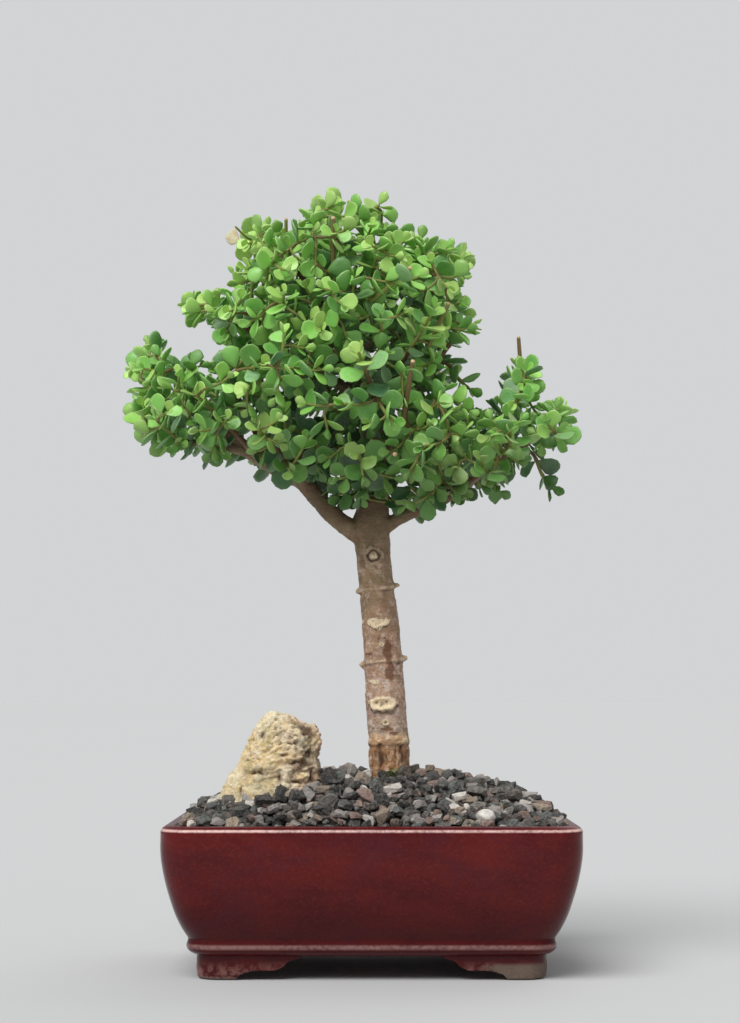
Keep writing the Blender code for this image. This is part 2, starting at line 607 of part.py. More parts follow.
def smooth_line(points, spacing):
    """Points about that far apart on a smooth curve through the given ones, with the curve's own numbers
    beyond x, y and z, such as its radius, carried along."""
    before = [2 * a - b for a, b in zip(points[0], points[1])]
    after = [2 * a - b for a, b in zip(points[-1], points[-2])]
    row = [before, *points, after]
    fine = []
    steps = 12
    for k in range(1, len(row) - 2):
        for step in range(steps):
            t = step / steps
            fine.append([
                b + 0.5 * ((c - a) * t + (2 * a - 5 * b + 4 * c - d) * t**2 + (3 * b - a - 3 * c + d) * t**3)
                for a, b, c, d in zip(row[k - 1], row[k], row[k + 1], row[k + 2])
            ])
    fine.append(list(points[-1]))
    lengths = [0.0]
    for a, b in zip(fine, fine[1:]):
        lengths.append(lengths[-1] + math.dist(a[:3], b[:3]))
    count = max(2, round(lengths[-1] / spacing))
    line = []
    k = 0
    for i in range(count + 1):
        target = lengths[-1] * i / count
        while k < len(lengths) - 2 and lengths[k + 1] < target:
            k += 1
        t = (target - lengths[k]) / (lengths[k + 1] - lengths[k])
        line.append([a + (b - a) * t for a, b in zip(fine[k], fine[k + 1])])
    return line


def tube(line, radii, sides, start=None, end=None):
    """Points and faces of a round bar along the line. start and end set the directions of its end faces."""
    directions = []
    for i in range(len(line)):
        before = line[max(i - 1, 0)]
        after = line[min(i + 1, len(line) - 1)]
        directions.append((after - before).normalized())
    directions[0] = start or directions[0]
    directions[-1] = end or directions[-1]
    across = directions[0].orthogonal().normalized()
    rings = []
    for centre, direction, radius in zip(line, directions, radii):
        across = (across - direction * across.dot(direction)).normalized()
        side = direction.cross(across)
        turns = [math.tau * i / sides for i in range(sides)]
        rings.append([centre + (across * math.cos(a) + side * math.sin(a)) * radius for a in turns])
    return loft(rings)


def place_on(line, distance):
    """The point that far along the line, and the line's direction there."""
    for a, b in zip(line, line[1:]):
        length = (b - a).length
        if distance <= length or b is line[-1]:
            return a.lerp(b, min(distance / length, 1)), (b - a).normalized()
        distance -= length


def length_of(line):
    return sum((b - a).length for a, b in zip(line, line[1:]))


class Branch:
    """One leafy branch: bare inner wood in the trunk's piece, then its own wood, shoots and leaves."""

    def __init__(self, name, points, radius, bare):
        line = [Vector(p) * MM for p in smooth_line(points, BRANCH_STEP)]
        total = length_of(line)
        seat, self.seat_direction = place_on(line, bare * total)
        reaches = [length_of(line[: i + 1]) for i in range(1, len(line))]
        inner_count = sum(reach < bare * total - 2 * MM for reach in reaches)
        outer_count = sum(reach > bare * total + 3 * MM for reach in reaches)
        self.name = name
        self.inner = line[: inner_count + 1] + [seat]
        self.outer = [seat + self.seat_direction * GAP] + line[len(line) - outer_count :]
        self.base_radius = radius * MM
        self.seat_radius = self.base_radius + (TIP_RADIUS - self.base_radius) * bare**BRANCH_TAPER
        self.shoots = []
        self.leaves = []

    def inner_radii(self):
        steps = len(self.inner) - 1
        thinner = self.seat_radius - self.base_radius
        return [self.base_radius + thinner * i / steps for i in range(steps + 1)]

    def outer_radii(self):
        steps = len(self.outer) - 1
        thinner = TIP_RADIUS - self.seat_radius
        return [self.seat_radius + thinner * (i / steps) ** BRANCH_TAPER for i in range(steps + 1)]

    def outer_tube(self):
        return tube(self.outer, self.outer_radii(), BRANCH_SIDES, start=self.seat_direction)


def outside_crown(point):
    """How far the point lies outside the crown's outline, in metres, or minus how far inside."""
    distances = []
    for middle, half in CLOUDS:
        offset = point - at(*middle)
        share = Vector([offset[i] / (half[i] * MM) for i in range(3)]).length
        distances.append((share - 1) * min(half) * MM)
    return min(distances)


def curved_shoot(start, parent_direction, direction, length, parts):
    """A shoot's line: it leaves along its branch, swings to its own direction and turns up at its tip."""
    tip = start + direction * length
    leaving = (parent_direction * LEAVE_ALONG + direction * LEAVE_OUTWARD).normalized()
    rising = (direction * TIP_FORWARD + UP * TIP_UPWARD).normalized()
    first = start + leaving * length * BEND_REACH
    second = tip - rising * length * BEND_REACH
    line = []
    for i in range(parts + 1):
        t = i / parts
        near_start = start * (1 - t) ** 3 + first * 3 * t * (1 - t) ** 2
        near_tip = second * 3 * t**2 * (1 - t) + tip * t**3
        line.append(near_start + near_tip)
    return line


class Space:
    """What is in place so far, to keep new leaves and shoots clear of it."""

    def __init__(self):
        self.items = []

    @staticmethod
    def ball(points):
        centre = sum(points, Vector()) / len(points)
        return centre, max((p - centre).length for p in points)

    def add(self, owner, points, faces):
        self.items.append((owner, *self.ball(points), BVHTree.FromPolygons(points, faces)))

    def is_hit(self, points, faces, owner, own):
        """Whether the shape meets anything of that owner (own True) or of all others (own False)."""
        centre, reach = self.ball(points)
        tree = None
        for other, middle, size, other_tree in self.items:
            if (other == owner) != own or (middle - centre).length > size + reach:
                continue
            tree = tree or BVHTree.FromPolygons(points, faces)
            if tree.overlap(other_tree):
                return True
        return False


def leaf_mesh(place, length, root=0.0, swell=0.0):
    """A succulent leaf: a dished upper face and one keel point below. root is where it starts along its
    length, and swell makes it fatter."""
    widest = max(x for x, _ in LEAF_OUTLINE)
    points = []
    for x, y in LEAF_OUTLINE:
        along = max(y, root)
        lift = LEAF_CUP * length * (0.7 * (x / widest) ** 2 + max(0, along - LEAF_KEEL))
        further = swell if y > LEAF_KEEL else 0
        corner = Vector((x * (length + swell / widest), along * length + further, lift + swell))
        points.append(place @ corner)
    points.append(place @ Vector((0, LEAF_KEEL * length, -LEAF_THICK - swell)))
    count = len(LEAF_OUTLINE)
    faces = [((i + 1) % count, i, count) for i in range(count)]
    left, right = count - 1, 1
    faces.append((0, right, left))
    while right < left - 1:
        faces.append((left, right, right + 1))
        right += 1
        if right < left - 1:
            faces.append((left, right, left - 1))
            left -= 1
    return points, faces


def leaf_place(root, direction, across, spread, roll):
    """Where a leaf sits: its length leans out from the shoot by spread, and its upper face looks along it."""
    along = (direction * math.cos(spread) + across * math.sin(spread)).normalized()
    face = direction * math.sin(spread) - across * math.cos(spread)
    face = Matrix.Rotation(roll, 3, along) @ face
    side = along.cross(face)
    turn = Matrix((side, along, face)).transposed()
    return Matrix.Translation(root) @ turn.to_4x4()


def grow_leaf(branch, space, root, direction, across, spread, length, draw):
    """Adds one leaf, bent or made smaller where it would cross another piece, or leaves it out."""
    roll = math.radians(draw.uniform(-LEAF_ROLL, LEAF_ROLL))
    wobble = math.radians(draw.uniform(-LEAF_WOBBLE, LEAF_WOBBLE))
    for swing, lean, size in LEAF_BENDS:
        turned = Matrix.Rotation(math.radians(swing) + wobble, 3, direction) @ across
        place = leaf_place(root, direction, turned, spread + math.radians(lean), roll)
        if space.is_hit(*leaf_mesh(place, length * size, swell=LEAF_CLEAR), branch.name, False):
            continue
        if space.is_hit(*leaf_mesh(place, length * size, root=LEAF_STALK), branch.name, True):
            continue
        branch.leaves.append((place, length * size))
        space.add(branch.name, *leaf_mesh(place, length * size))
        return


def grow_pairs(branch, space, line, first, last, roll, draw):
    """Leaf pairs on a shoot, each turned a quarter from the one before, counted back from its tip."""
    total = length_of(line)
    for k in range(first, last):
        back, share, angle = LEAF_PAIRS[k]
        if back * MM > total - 4 * MM:
            break
        root, direction = place_on(line, total - back * MM)
        across = direction.orthogonal().normalized()
        across = Matrix.Rotation(roll + k * math.pi / 2, 3, direction) @ across
        for side in (1, -1):
            spread = math.radians(angle + draw.uniform(-LEAF_SPREAD, LEAF_SPREAD))
            length = LEAF_LENGTH * share * draw.uniform(*LEAF_SIZES)
            grow_leaf(branch, space, root, direction, across * side, spread, length, draw)


def add_side_shoots(branches, space, draw):
    """Side shoots, one after another, each where the crown is emptiest among some drawn at random."""
    tips = [branch.outer[-1] for branch in branches]
    for _ in range(SIDE_SHOOTS):
        best = None
        for _ in range(SHOOT_TRIES):
            branch = draw.choice(branches)
            start, along = place_on(branch.outer, length_of(branch.outer) * draw.uniform(*SHOOT_PLACES))
            outward = (start - at(*CROWN_HEART)).normalized()
            wild = Vector([draw.gauss(0, 1) for _ in range(3)]).normalized()
            direction = outward * SHOOT_OUTWARD + wild + UP * SHOOT_UPWARD + along * SHOOT_ALONG
            direction.normalize()
            length = draw.uniform(*SHOOT_LENGTH)
            tip = start + direction * length
            spacing = min(min((tip - other).length for other in tips), TIP_SPACING)
            outside = outside_crown(tip)
            score = spacing - OUTSIDE_COST * max(0, outside) - INSIDE_COST * max(0, -outside)
            if best is not None and score <= best[0]:
                continue
            line = curved_shoot(start, along, direction, length, SHOOT_STEPS)
            radii = [SHOOT_RADIUS] * SHOOT_STEPS + [TIP_RADIUS]
            guard = tube(line, [r + LEAF_CLEAR for r in radii], BRANCH_SIDES)
            if space.is_hit(*guard, branch.name, False):
                continue
            best = (score, branch, line, radii, tip)
        _, branch, line, radii, tip = best
        tips.append(tip)
        branch.shoots.append((line, radii))
        space.add(branch.name, *tube(line, radii, BRANCH_SIDES))


def grow_crown(trunk_shapes):
    """All leafy branches. trunk_shapes are the meshes of the bare wood, which leaves keep clear of."""
    draw = random.Random(GROWTH_SEED)
    branches = [Branch(*row) for row in BRANCHES]
    space = Space()
    for shape in trunk_shapes:
        space.add("trunk", *shape)
    for branch in branches:
        space.add("trunk", *tube(branch.inner, branch.inner_radii(), LIMB_SIDES, end=branch.seat_direction))
        space.add(branch.name, *branch.outer_tube())
    add_side_shoots(branches, space, draw)
    for first, last_main, last_side in ((0, 2, 2), (2, MAIN_PAIRS, SHOOT_PAIRS)):
        for number, branch in enumerate(branches):
            lines = [branch.outer] + [line for line, _ in branch.shoots]
            for k, line in enumerate(lines):
                roll = 0.9 * number + 1.3 * k
                grow_pairs(branch, space, line, first, last_side if k else last_main, roll, draw)
    return branches


def bare_wood():
    """Meshes of the trunk and its two low limbs, from their tables of points and radii."""
    left_rows = smooth_line(LEFT_LIMB, LIMB_STEP)
    right_rows = smooth_line(RIGHT_LIMB, LIMB_STEP)
    shapes = []
    for rows, sides in ((TRUNK, TRUNK_SIDES), (left_rows, LEFT_LIMB_SIDES), (right_rows, RIGHT_LIMB_SIDES)):
        line = [at(*row[:3]) for row in rows]
        shapes.append(tube(line, [row[3] * MM for row in rows], sides))
    return shapes


def bud(x, y, z, bearing):
    """A short pointed bud that stands out of a node ridge."""
    turn = math.radians(bearing)
    out = Vector((math.cos(turn), math.sin(turn), BUD_RISE)).normalized()
    line = [at(x, y, z) + out * reach * MM for reach, _ in BUD_ROWS]
    return tube(line, [radius * MM for _, radius in BUD_ROWS], BUD_SIDES)


def scar(x, z, radius, proud):
    """A healed pruning cut on the front of the trunk: a lip round a sunken disc."""
    surface = at(x, SCAR_FRONT, z)
    out = Vector((0, -1, 0.12)).normalized()
    side = Vector((1, 0, 0))
    rise = out.cross(side) * SCAR_FLATTEN
    turns = [math.tau * i / SCAR_SIDES for i in range(SCAR_SIDES)]
    rings = []
    for share, depth, lip in SCAR_RINGS:
        centre = surface + out * (depth + lip * proud) * MM
        reach = radius * share * MM
        rings.append([centre + (side * math.cos(a) + rise * math.sin(a)) * reach for a in turns])
    return loft(rings)


def fattened(obj):
    """A copy that is a little larger all round, to cut the seat that the piece rests in."""
    form = bmesh.new()
    form.from_mesh(obj.data)
    form.normal_update()
    for vert in form.verts:
        vert.co += vert.normal * (vert.calc_shell_factor() * SEAT_GAP)
    mesh = bpy.data.meshes.new(obj.name + "_seat")
    form.to_mesh(mesh)
    form.free()
    guard = bpy.data.objects.new(obj.name + "_seat", mesh)
    bpy.context.scene.collection.objects.link(guard)
    return guard


def make_trunk(branches, shapes):
    trunk = new_object("trunk", *shapes[0], "bark")
    parts = list(shapes[1:])
    parts += [tube(b.inner, b.inner_radii(), LIMB_SIDES, end=b.seat_direction) for b in branches]
    parts += [bud(*row) for row in BUDS]
    parts += [scar(*row) for row in SCARS]
    others = [new_object("limb", *part, "bark") for part in parts]
    for other in others:
        face_outwards(other)
    face_outwards(trunk)
    combine(trunk, others, "UNION")
    keep_largest_body(trunk)
    smooth_by_angle(trunk, 60)
    return trunk


def face_outwards(obj):
    form = bmesh.new()
    form.from_mesh(obj.data)
    bmesh.ops.recalc_face_normals(form, faces=form.faces)
    form.to_mesh(obj.data)
    form.free()


def make_leafy_branch(branch):
    obj = new_object("leafy_" + branch.name, *branch.outer_tube(), "foliage")
    parts = [tube(line, radii, BRANCH_SIDES) for line, radii in branch.shoots]
    parts += [leaf_mesh(place, length) for place, length in branch.leaves]
    others = [new_object("growth", *part, "foliage") for part in parts]
    for piece in [obj, *others]:
        face_outwards(piece)
    combine(obj, others, "UNION", "MANIFOLD")
    keep_largest_body(obj)
    return obj


def stand_on_origin(objects):
    """Shifts every piece so that the origin is on the ground under the middle of the whole."""
    corners = [vert.co for obj in objects for vert in obj.data.vertices]
    low = Vector([min(c[i] for c in corners) for i in range(3)])
    high = Vector([max(c[i] for c in corners) for i in range(3)])
    shift = Vector((-(low.x + high.x) / 2, -(low.y + high.y) / 2, -low.z))
    for obj in objects:
        obj.data.transform(Matrix.Translation(shift))


def trunk_guard():
    """The trunk's foot a little larger all round, to cut its hole in the gravel."""
    rows = TRUNK[:TRUNK_SEAT_ROWS]
    radii = [row[3] * MM + TRUNK_SEAT_GAP for row in rows]
    return new_object("trunk_guard", *tube([at(*row[:3]) for row in rows], radii, TRUNK_SIDES))


def main():
    clear_scene()
    shapes = bare_wood()
    branches = grow_crown(shapes)
    pot = make_pot()
    screens = [
        make_screen("drain_screen_left", -DRAIN_HOLE_OFFSET),
        make_screen("drain_screen_right", DRAIN_HOLE_OFFSET),
    ]
    soil = make_soil()
    rock = new_object("rock", *rock_mesh(), "limestone")
    pebble = new_object("white_pebble", *pebble_mesh(), "quartz")
    for obj in [pot, soil, rock, pebble]:
        face_outwards(obj)
    triangulate(rock)
    gravel = make_gravel([trunk_guard(), fattened(rock), fattened(pebble)])
    trunk = make_trunk(branches, shapes)
    leafy = [make_leafy_branch(branch) for branch in branches]
    stand_on_origin([pot, *screens, soil, gravel, rock, pebble, trunk, *leafy])


main()
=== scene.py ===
import math
import random

import bpy
import numpy as np
from mathutils import Matrix, Vector, noise
from mathutils.bvhtree import BVHTree


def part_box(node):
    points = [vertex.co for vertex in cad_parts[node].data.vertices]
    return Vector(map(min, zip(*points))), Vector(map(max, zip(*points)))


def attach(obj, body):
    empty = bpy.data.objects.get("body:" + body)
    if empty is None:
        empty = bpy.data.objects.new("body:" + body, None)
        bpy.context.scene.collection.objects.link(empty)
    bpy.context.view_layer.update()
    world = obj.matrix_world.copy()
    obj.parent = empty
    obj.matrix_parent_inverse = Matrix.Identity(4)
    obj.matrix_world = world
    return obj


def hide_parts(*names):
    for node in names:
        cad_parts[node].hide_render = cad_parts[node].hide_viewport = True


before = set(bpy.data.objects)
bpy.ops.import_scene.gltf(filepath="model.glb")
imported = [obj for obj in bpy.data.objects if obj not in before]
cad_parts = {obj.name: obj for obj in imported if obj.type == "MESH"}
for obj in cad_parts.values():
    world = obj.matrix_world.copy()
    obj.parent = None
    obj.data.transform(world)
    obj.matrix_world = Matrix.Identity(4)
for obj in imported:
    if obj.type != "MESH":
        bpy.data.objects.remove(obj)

bl_info = {
    "name": "Dwarf jade bonsai",
    "version": (1, 0, 0),
    "blender": (4, 5, 0),
    "location": "3D View > Sidebar > Bonsai",
    "description": "Leaves, bark, gravel, rock and glazed pot of a dwarf jade bonsai",
    "category": "Object",
}

MM = 0.001
UP = Vector((0, 0, 1))
BODY = "root"
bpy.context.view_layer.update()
POT_LOW, POT_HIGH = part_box("pot")
# Pieces are modelled round the middle of the pot's footprint and moved here when they are finished
MIDDLE = Vector(((POT_LOW.x + POT_HIGH.x) / 2, (POT_LOW.y + POT_HIGH.y) / 2, 0))

# Pot: half sizes of its widest outline and its corners' radius at the foot
POT_HALF_WIDTH = (POT_HIGH.x - POT_LOW.x) / 2
POT_HALF_DEPTH = (POT_HIGH.y - POT_LOW.y) / 2
POT_CORNER = 15.5 * MM
# Edges that turn more than this are shaded sharp, and bevelled on the feet
EDGE_ANGLE = math.radians(38)
# Outside and inside profiles: (inset from the widest outline, height) in millimetres, bottom to top
POT_OUTSIDE = [
    (20.5, 14.4), (17.2, 16.2), (15.2, 19.0), (15.2, 21.6), (16.3, 23.6), (15.6, 25.2), (12.2, 31.0),
    (8.6, 39.0), (5.4, 49.0), (3.0, 58.0), (1.0, 68.0), (0.0, 77.0), (0.0, 86.0), (0.0, 89.2), (0.7, 90.7),
    (2.3, 92.2), (4.2, 92.9), (6.4, 92.6), (7.8, 91.2),
]  # fmt: skip
# Height of the lip's edge, where the glaze runs thin and a painted highlight runs along it
LIP_EDGE = 90.2 * MM
POT_INSIDE = [(8.8, 86.0), (9.6, 72.0), (13.4, 53.0), (20.2, 36.0), (31.0, 23.5)]
FOOT_PROFILE = [(23.4, 0.0), (21.6, 1.2), (20.9, 6.0), (21.2, 15.6)]
FOOT_WALL = 13.0 * MM
# Bevel on the feet, half length of the arches' cutters, and the drain holes' size and place
FOOT_EDGE = 0.7 * MM
ARCH_REACH = 160.0 * MM
DRAIN_RADIUS = 8.0 * MM
DRAIN_PLACE = 55.0 * MM
FRONT_ARCH = [(82.0, -3.0), (82.0, 0.4), (79.4, 3.4), (72.0, 5.7), (58.0, 5.9), (53.4, 8.0), (50.2, 11.2),
              (44.0, 13.0), (36.5, 17.6)]  # fmt: skip
SIDE_ARCH = [(60.0, -3.0), (60.0, 0.4), (57.4, 3.4), (51.0, 5.7), (44.0, 5.9), (39.4, 8.0), (36.2, 11.2),
             (32.0, 13.0), (25.0, 17.6)]  # fmt: skip

# Mound of gravel
TRUNK_FOOT = (11.8, 2.0)
MOUND_EDGE = 91.3 * MM
MOUND_RISE = 29.5 * MM
WALL_INSET = 9.0 * MM
BED_DROP = 3.2 * MM
# How much lower the stones lie round the trunk, in millimetres
TRUNK_DIP = 6.0
DIP_START = 15.0
DIP_REACH = 9.0
# No loose stone lies nearer to the trunk's middle than this, nor nearer to the pot's wall
TRUNK_CLEAR = 14.6 * MM
RIM_CLEAR = 2.8 * MM
MOST_MISSES = 4000
# Loose stones, lowest layer first: (name, how many are tried, spacing, lift, smallest and largest size)
STONE_LAYERS = [
    ("gravel_lower", 1700, 6.0, -2.4, (2.8, 4.2)),
    ("gravel_middle", 1500, 4.8, 0.5, (1.7, 3.7)),
    ("gravel_stones", 260, 9.0, 3.2, (2.6, 4.8)),
]
# Length, width and height of a stone as shares of its size
STONE_SHARES = [(0.95, 1.4), (0.75, 1.05), (0.55, 0.9)]

# Rock: rings as (share of the height, left side, right side), seen from the front
ROCK_RINGS = [
    (0.0, -91.5, -34.0), (0.12, -94.8, -31.4), (0.25, -93.2, -32.0), (0.35, -92.2, -31.0),
    (0.44, -88.8, -32.2), (0.53, -85.5, -31.2), (0.63, -80.4, -32.2), (0.73, -78.0, -34.0),
    (0.82, -75.2, -37.6), (0.90, -71.6, -43.0), (0.96, -68.2, -48.2), (1.0, -64.6, -54.8),
]  # fmt: skip
ROCK_TOP = 159.0 * MM
ROCK_HALF_DEPTH = 22.0
ROCK_MIDDLE_Y = -27.0
ROCK_SINK = 5.5 * MM
ROCK_FOOT = 95.0 * MM
# How far the rock's middle moves back from its foot to its top
ROCK_LEAN = 5.0
ROCK_SIDES = 48
# Stones that stand out: (x, y, half width, half height, tone from dark to pale)
CHOSEN_STONES = [
    (-65.0, -60.0, 6.4, 4.4, 0.10), (-54.0, -57.0, 5.8, 4.8, 0.05), (-45.0, -60.0, 5.4, 3.8, 0.20),
    (-26.0, -39.0, 5.6, 6.6, 0.04), (-12.3, -21.0, 3.7, 5.2, 0.89), (19.8, -22.0, 4.2, 3.4, 0.57),
    (-108.3, -84.0, 3.0, 2.4, 0.98), (-113.0, -78.0, 3.2, 2.6, 0.58), (-82.0, -66.0, 4.4, 3.6, 0.20),
]  # fmt: skip
# Crevices on the rock's front: (x, height, half width, half height, depth)
ROCK_CREVICES = [
    (-71.0, 123.5, 8.5, 1.4, 4.2), (-57.0, 120.0, 2.0, 4.5, 3.0), (-47.0, 129.0, 6.5, 1.3, 3.4),
    (-37.0, 135.0, 2.0, 6.5, 3.0), (-36.5, 121.0, 2.4, 7.0, 3.6), (-50.0, 141.0, 6.0, 0.9, 1.8),
    (-76.0, 132.0, 5.0, 0.8, 1.4), (-82.0, 112.0, 1.2, 5.0, 2.2), (-55.0, 133.5, 5.0, 0.9, 1.8),
    (-68.0, 147.0, 3.0, 1.2, 1.6), (-46.0, 117.0, 5.0, 1.2, 2.8),
]  # fmt: skip
# Patch of moss in the gravel: x, y, half width, half depth, then how many tiny leaves it has
MOSS = (14.0, -20.0, 8.5, 5.5)
MOSS_LEAVES = 150
# Where the rock stands out or falls in over a wider area: (x, height, reach, how far out)
ROCK_SWELLS = [
    (-61.0, 160.0, 9.0, 2.6), (-36.5, 148.0, 7.0, 3.4), (-78.0, 149.0, 8.0, -2.2),
    (-85.0, 128.0, 8.0, -2.6), (-34.0, 130.0, 8.0, -1.6), (-90.0, 108.0, 8.0, 1.2),
]  # fmt: skip
PEBBLE_PLACE = (69.0, -75.0)
PEBBLE_HALF = (6.0, 4.8, 4.3)
PEBBLE_LIFT = 2.6

# Trunk: (x, y, height, radius) in millimetres, as its solid has it
TRUNK = [
    (12.2, 2.0, 76.0, 12.4), (12.0, 2.0, 90.0, 13.6), (12.0, 2.0, 112.0, 14.4), (11.8, 2.0, 124.0, 13.5),
    (11.2, 2.0, 136.5, 13.3), (11.0, 2.0, 140.6, 14.7), (10.8, 2.0, 144.5, 13.2), (9.6, 2.2, 158.0, 13.3),
    (8.8, 2.4, 174.0, 13.0), (7.8, 2.6, 188.5, 13.0), (7.6, 2.7, 192.4, 14.5), (7.2, 2.8, 196.4, 12.6),
    (6.2, 3.0, 210.0, 12.5), (5.0, 3.2, 224.0, 11.9), (3.8, 3.4, 235.0, 11.7), (3.5, 3.5, 239.0, 13.2),
    (3.0, 3.6, 243.0, 11.6), (1.6, 3.8, 256.0, 11.6), (0.4, 4.0, 268.0, 11.9), (-0.6, 4.2, 279.0, 12.6),
    (0.8, 4.6, 290.0, 11.2), (1.8, 5.2, 302.0, 9.8), (1.6, 6.2, 322.0, 8.8), (0.0, 8.0, 345.0, 7.8),
    (-3.6, 9.0, 372.0, 6.4), (-7.6, 8.2, 400.0, 4.9), (-10.4, 6.6, 424.0, 3.4), (-12.4, 6.0, 440.0, 2.4),
]  # fmt: skip
# How much thinner the bark is drawn than the solid, and how much less each node ridge bulges
BARK_INSET = 0.45
RIDGE_INSET = 0.9
LEFT_LIMB = [
    (0.0, 3.0, 268.0, 6.4), (-12.0, 1.2, 276.5, 6.2), (-24.0, 0.0, 285.5, 5.9), (-34.0, -0.6, 296.0, 5.6),
    (-44.0, -1.0, 307.0, 5.4), (-60.0, -1.0, 315.5, 4.9), (-72.0, -2.0, 322.0, 4.3),
    (-84.0, -4.0, 330.0, 3.6),
]  # fmt: skip
RIGHT_LIMB = [
    (1.0, 4.0, 273.0, 4.8), (12.0, 2.4, 281.0, 4.6), (24.6, 1.0, 287.8, 4.3), (42.8, 0.0, 294.6, 4.0),
    (58.2, 1.0, 305.0, 3.6), (76.0, 2.0, 318.0, 3.0),
]  # fmt: skip
# Buds at the ends of the node ridges: (x, y, height, bearing from +X in degrees)
BUDS = [(-8.6, 3.0, 237.5, 176), (16.6, 3.2, 241.4, 4), (-6.2, 2.6, 190.0, 182), (21.4, 2.4, 194.5, 2)]
# Node ridges: (height, rise from left to right, strength)
RIDGES = [(140.2, 1.0, 0.5), (192.2, 2.4, 1.0), (238.6, 3.2, 0.8)]
# Height of the ragged collar over the bare foot
COLLAR = 142.6
# Scar with a swirl in its middle, high on the front, then plain ones under it:
# (x, height, half width, half height, lip, depth of its eye, taper downwards)
SWIRL_SCAR = (1.0, 259.8, 5.8, 5.6, 1.3, 1.0)
SCARS = [
    (3.8, 216.2, 6.6, 3.5, 0.8, 0.3, 0.75), (7.0, 165.2, 8.2, 5.0, 1.9, 0.6, 0.0),
    (2.4, 179.2, 3.6, 1.3, 0.5, 0.1, 0.0), (4.6, 213.4, 1.9, 1.9, 0.7, 1.5, 0.0),
    (6.6, 203.0, 1.6, 1.6, 0.4, 1.4, 0.0), (8.8, 153.4, 2.1, 1.7, 0.7, 2.2, 0.0),
]  # fmt: skip
# Small holes in the bark, sunk and darkened with painted shade: (x, height)
PIN_HOLES = [(3.4, 166.0), (6.2, 164.2), (9.4, 166.6), (4.6, 206.4), (8.4, 207.0)]
# Cracks at the foot: (x, low end, high end, half width)
CRACKS = [
    (4.8, 124.5, 140.2, 2.5), (19.4, 127.5, 139.0, 1.7), (0.0, 119.0, 127.0, 0.7), (12.4, 117.0, 124.5, 0.8),
    (9.4, 127.0, 134.0, 0.5), (15.6, 129.0, 139.0, 0.5), (2.6, 130.0, 136.5, 0.4),
]  # fmt: skip
# Dark stains on the bark: (x, height, half width, half height)
STAINS = [(10.4, 200.0, 2.9, 7.4), (11.8, 185.6, 3.2, 7.0), (-2.0, 197.0, 2.4, 1.2), (8.4, 149.4, 5.0, 1.2),
          (14.0, 146.5, 3.0, 1.4)]  # fmt: skip

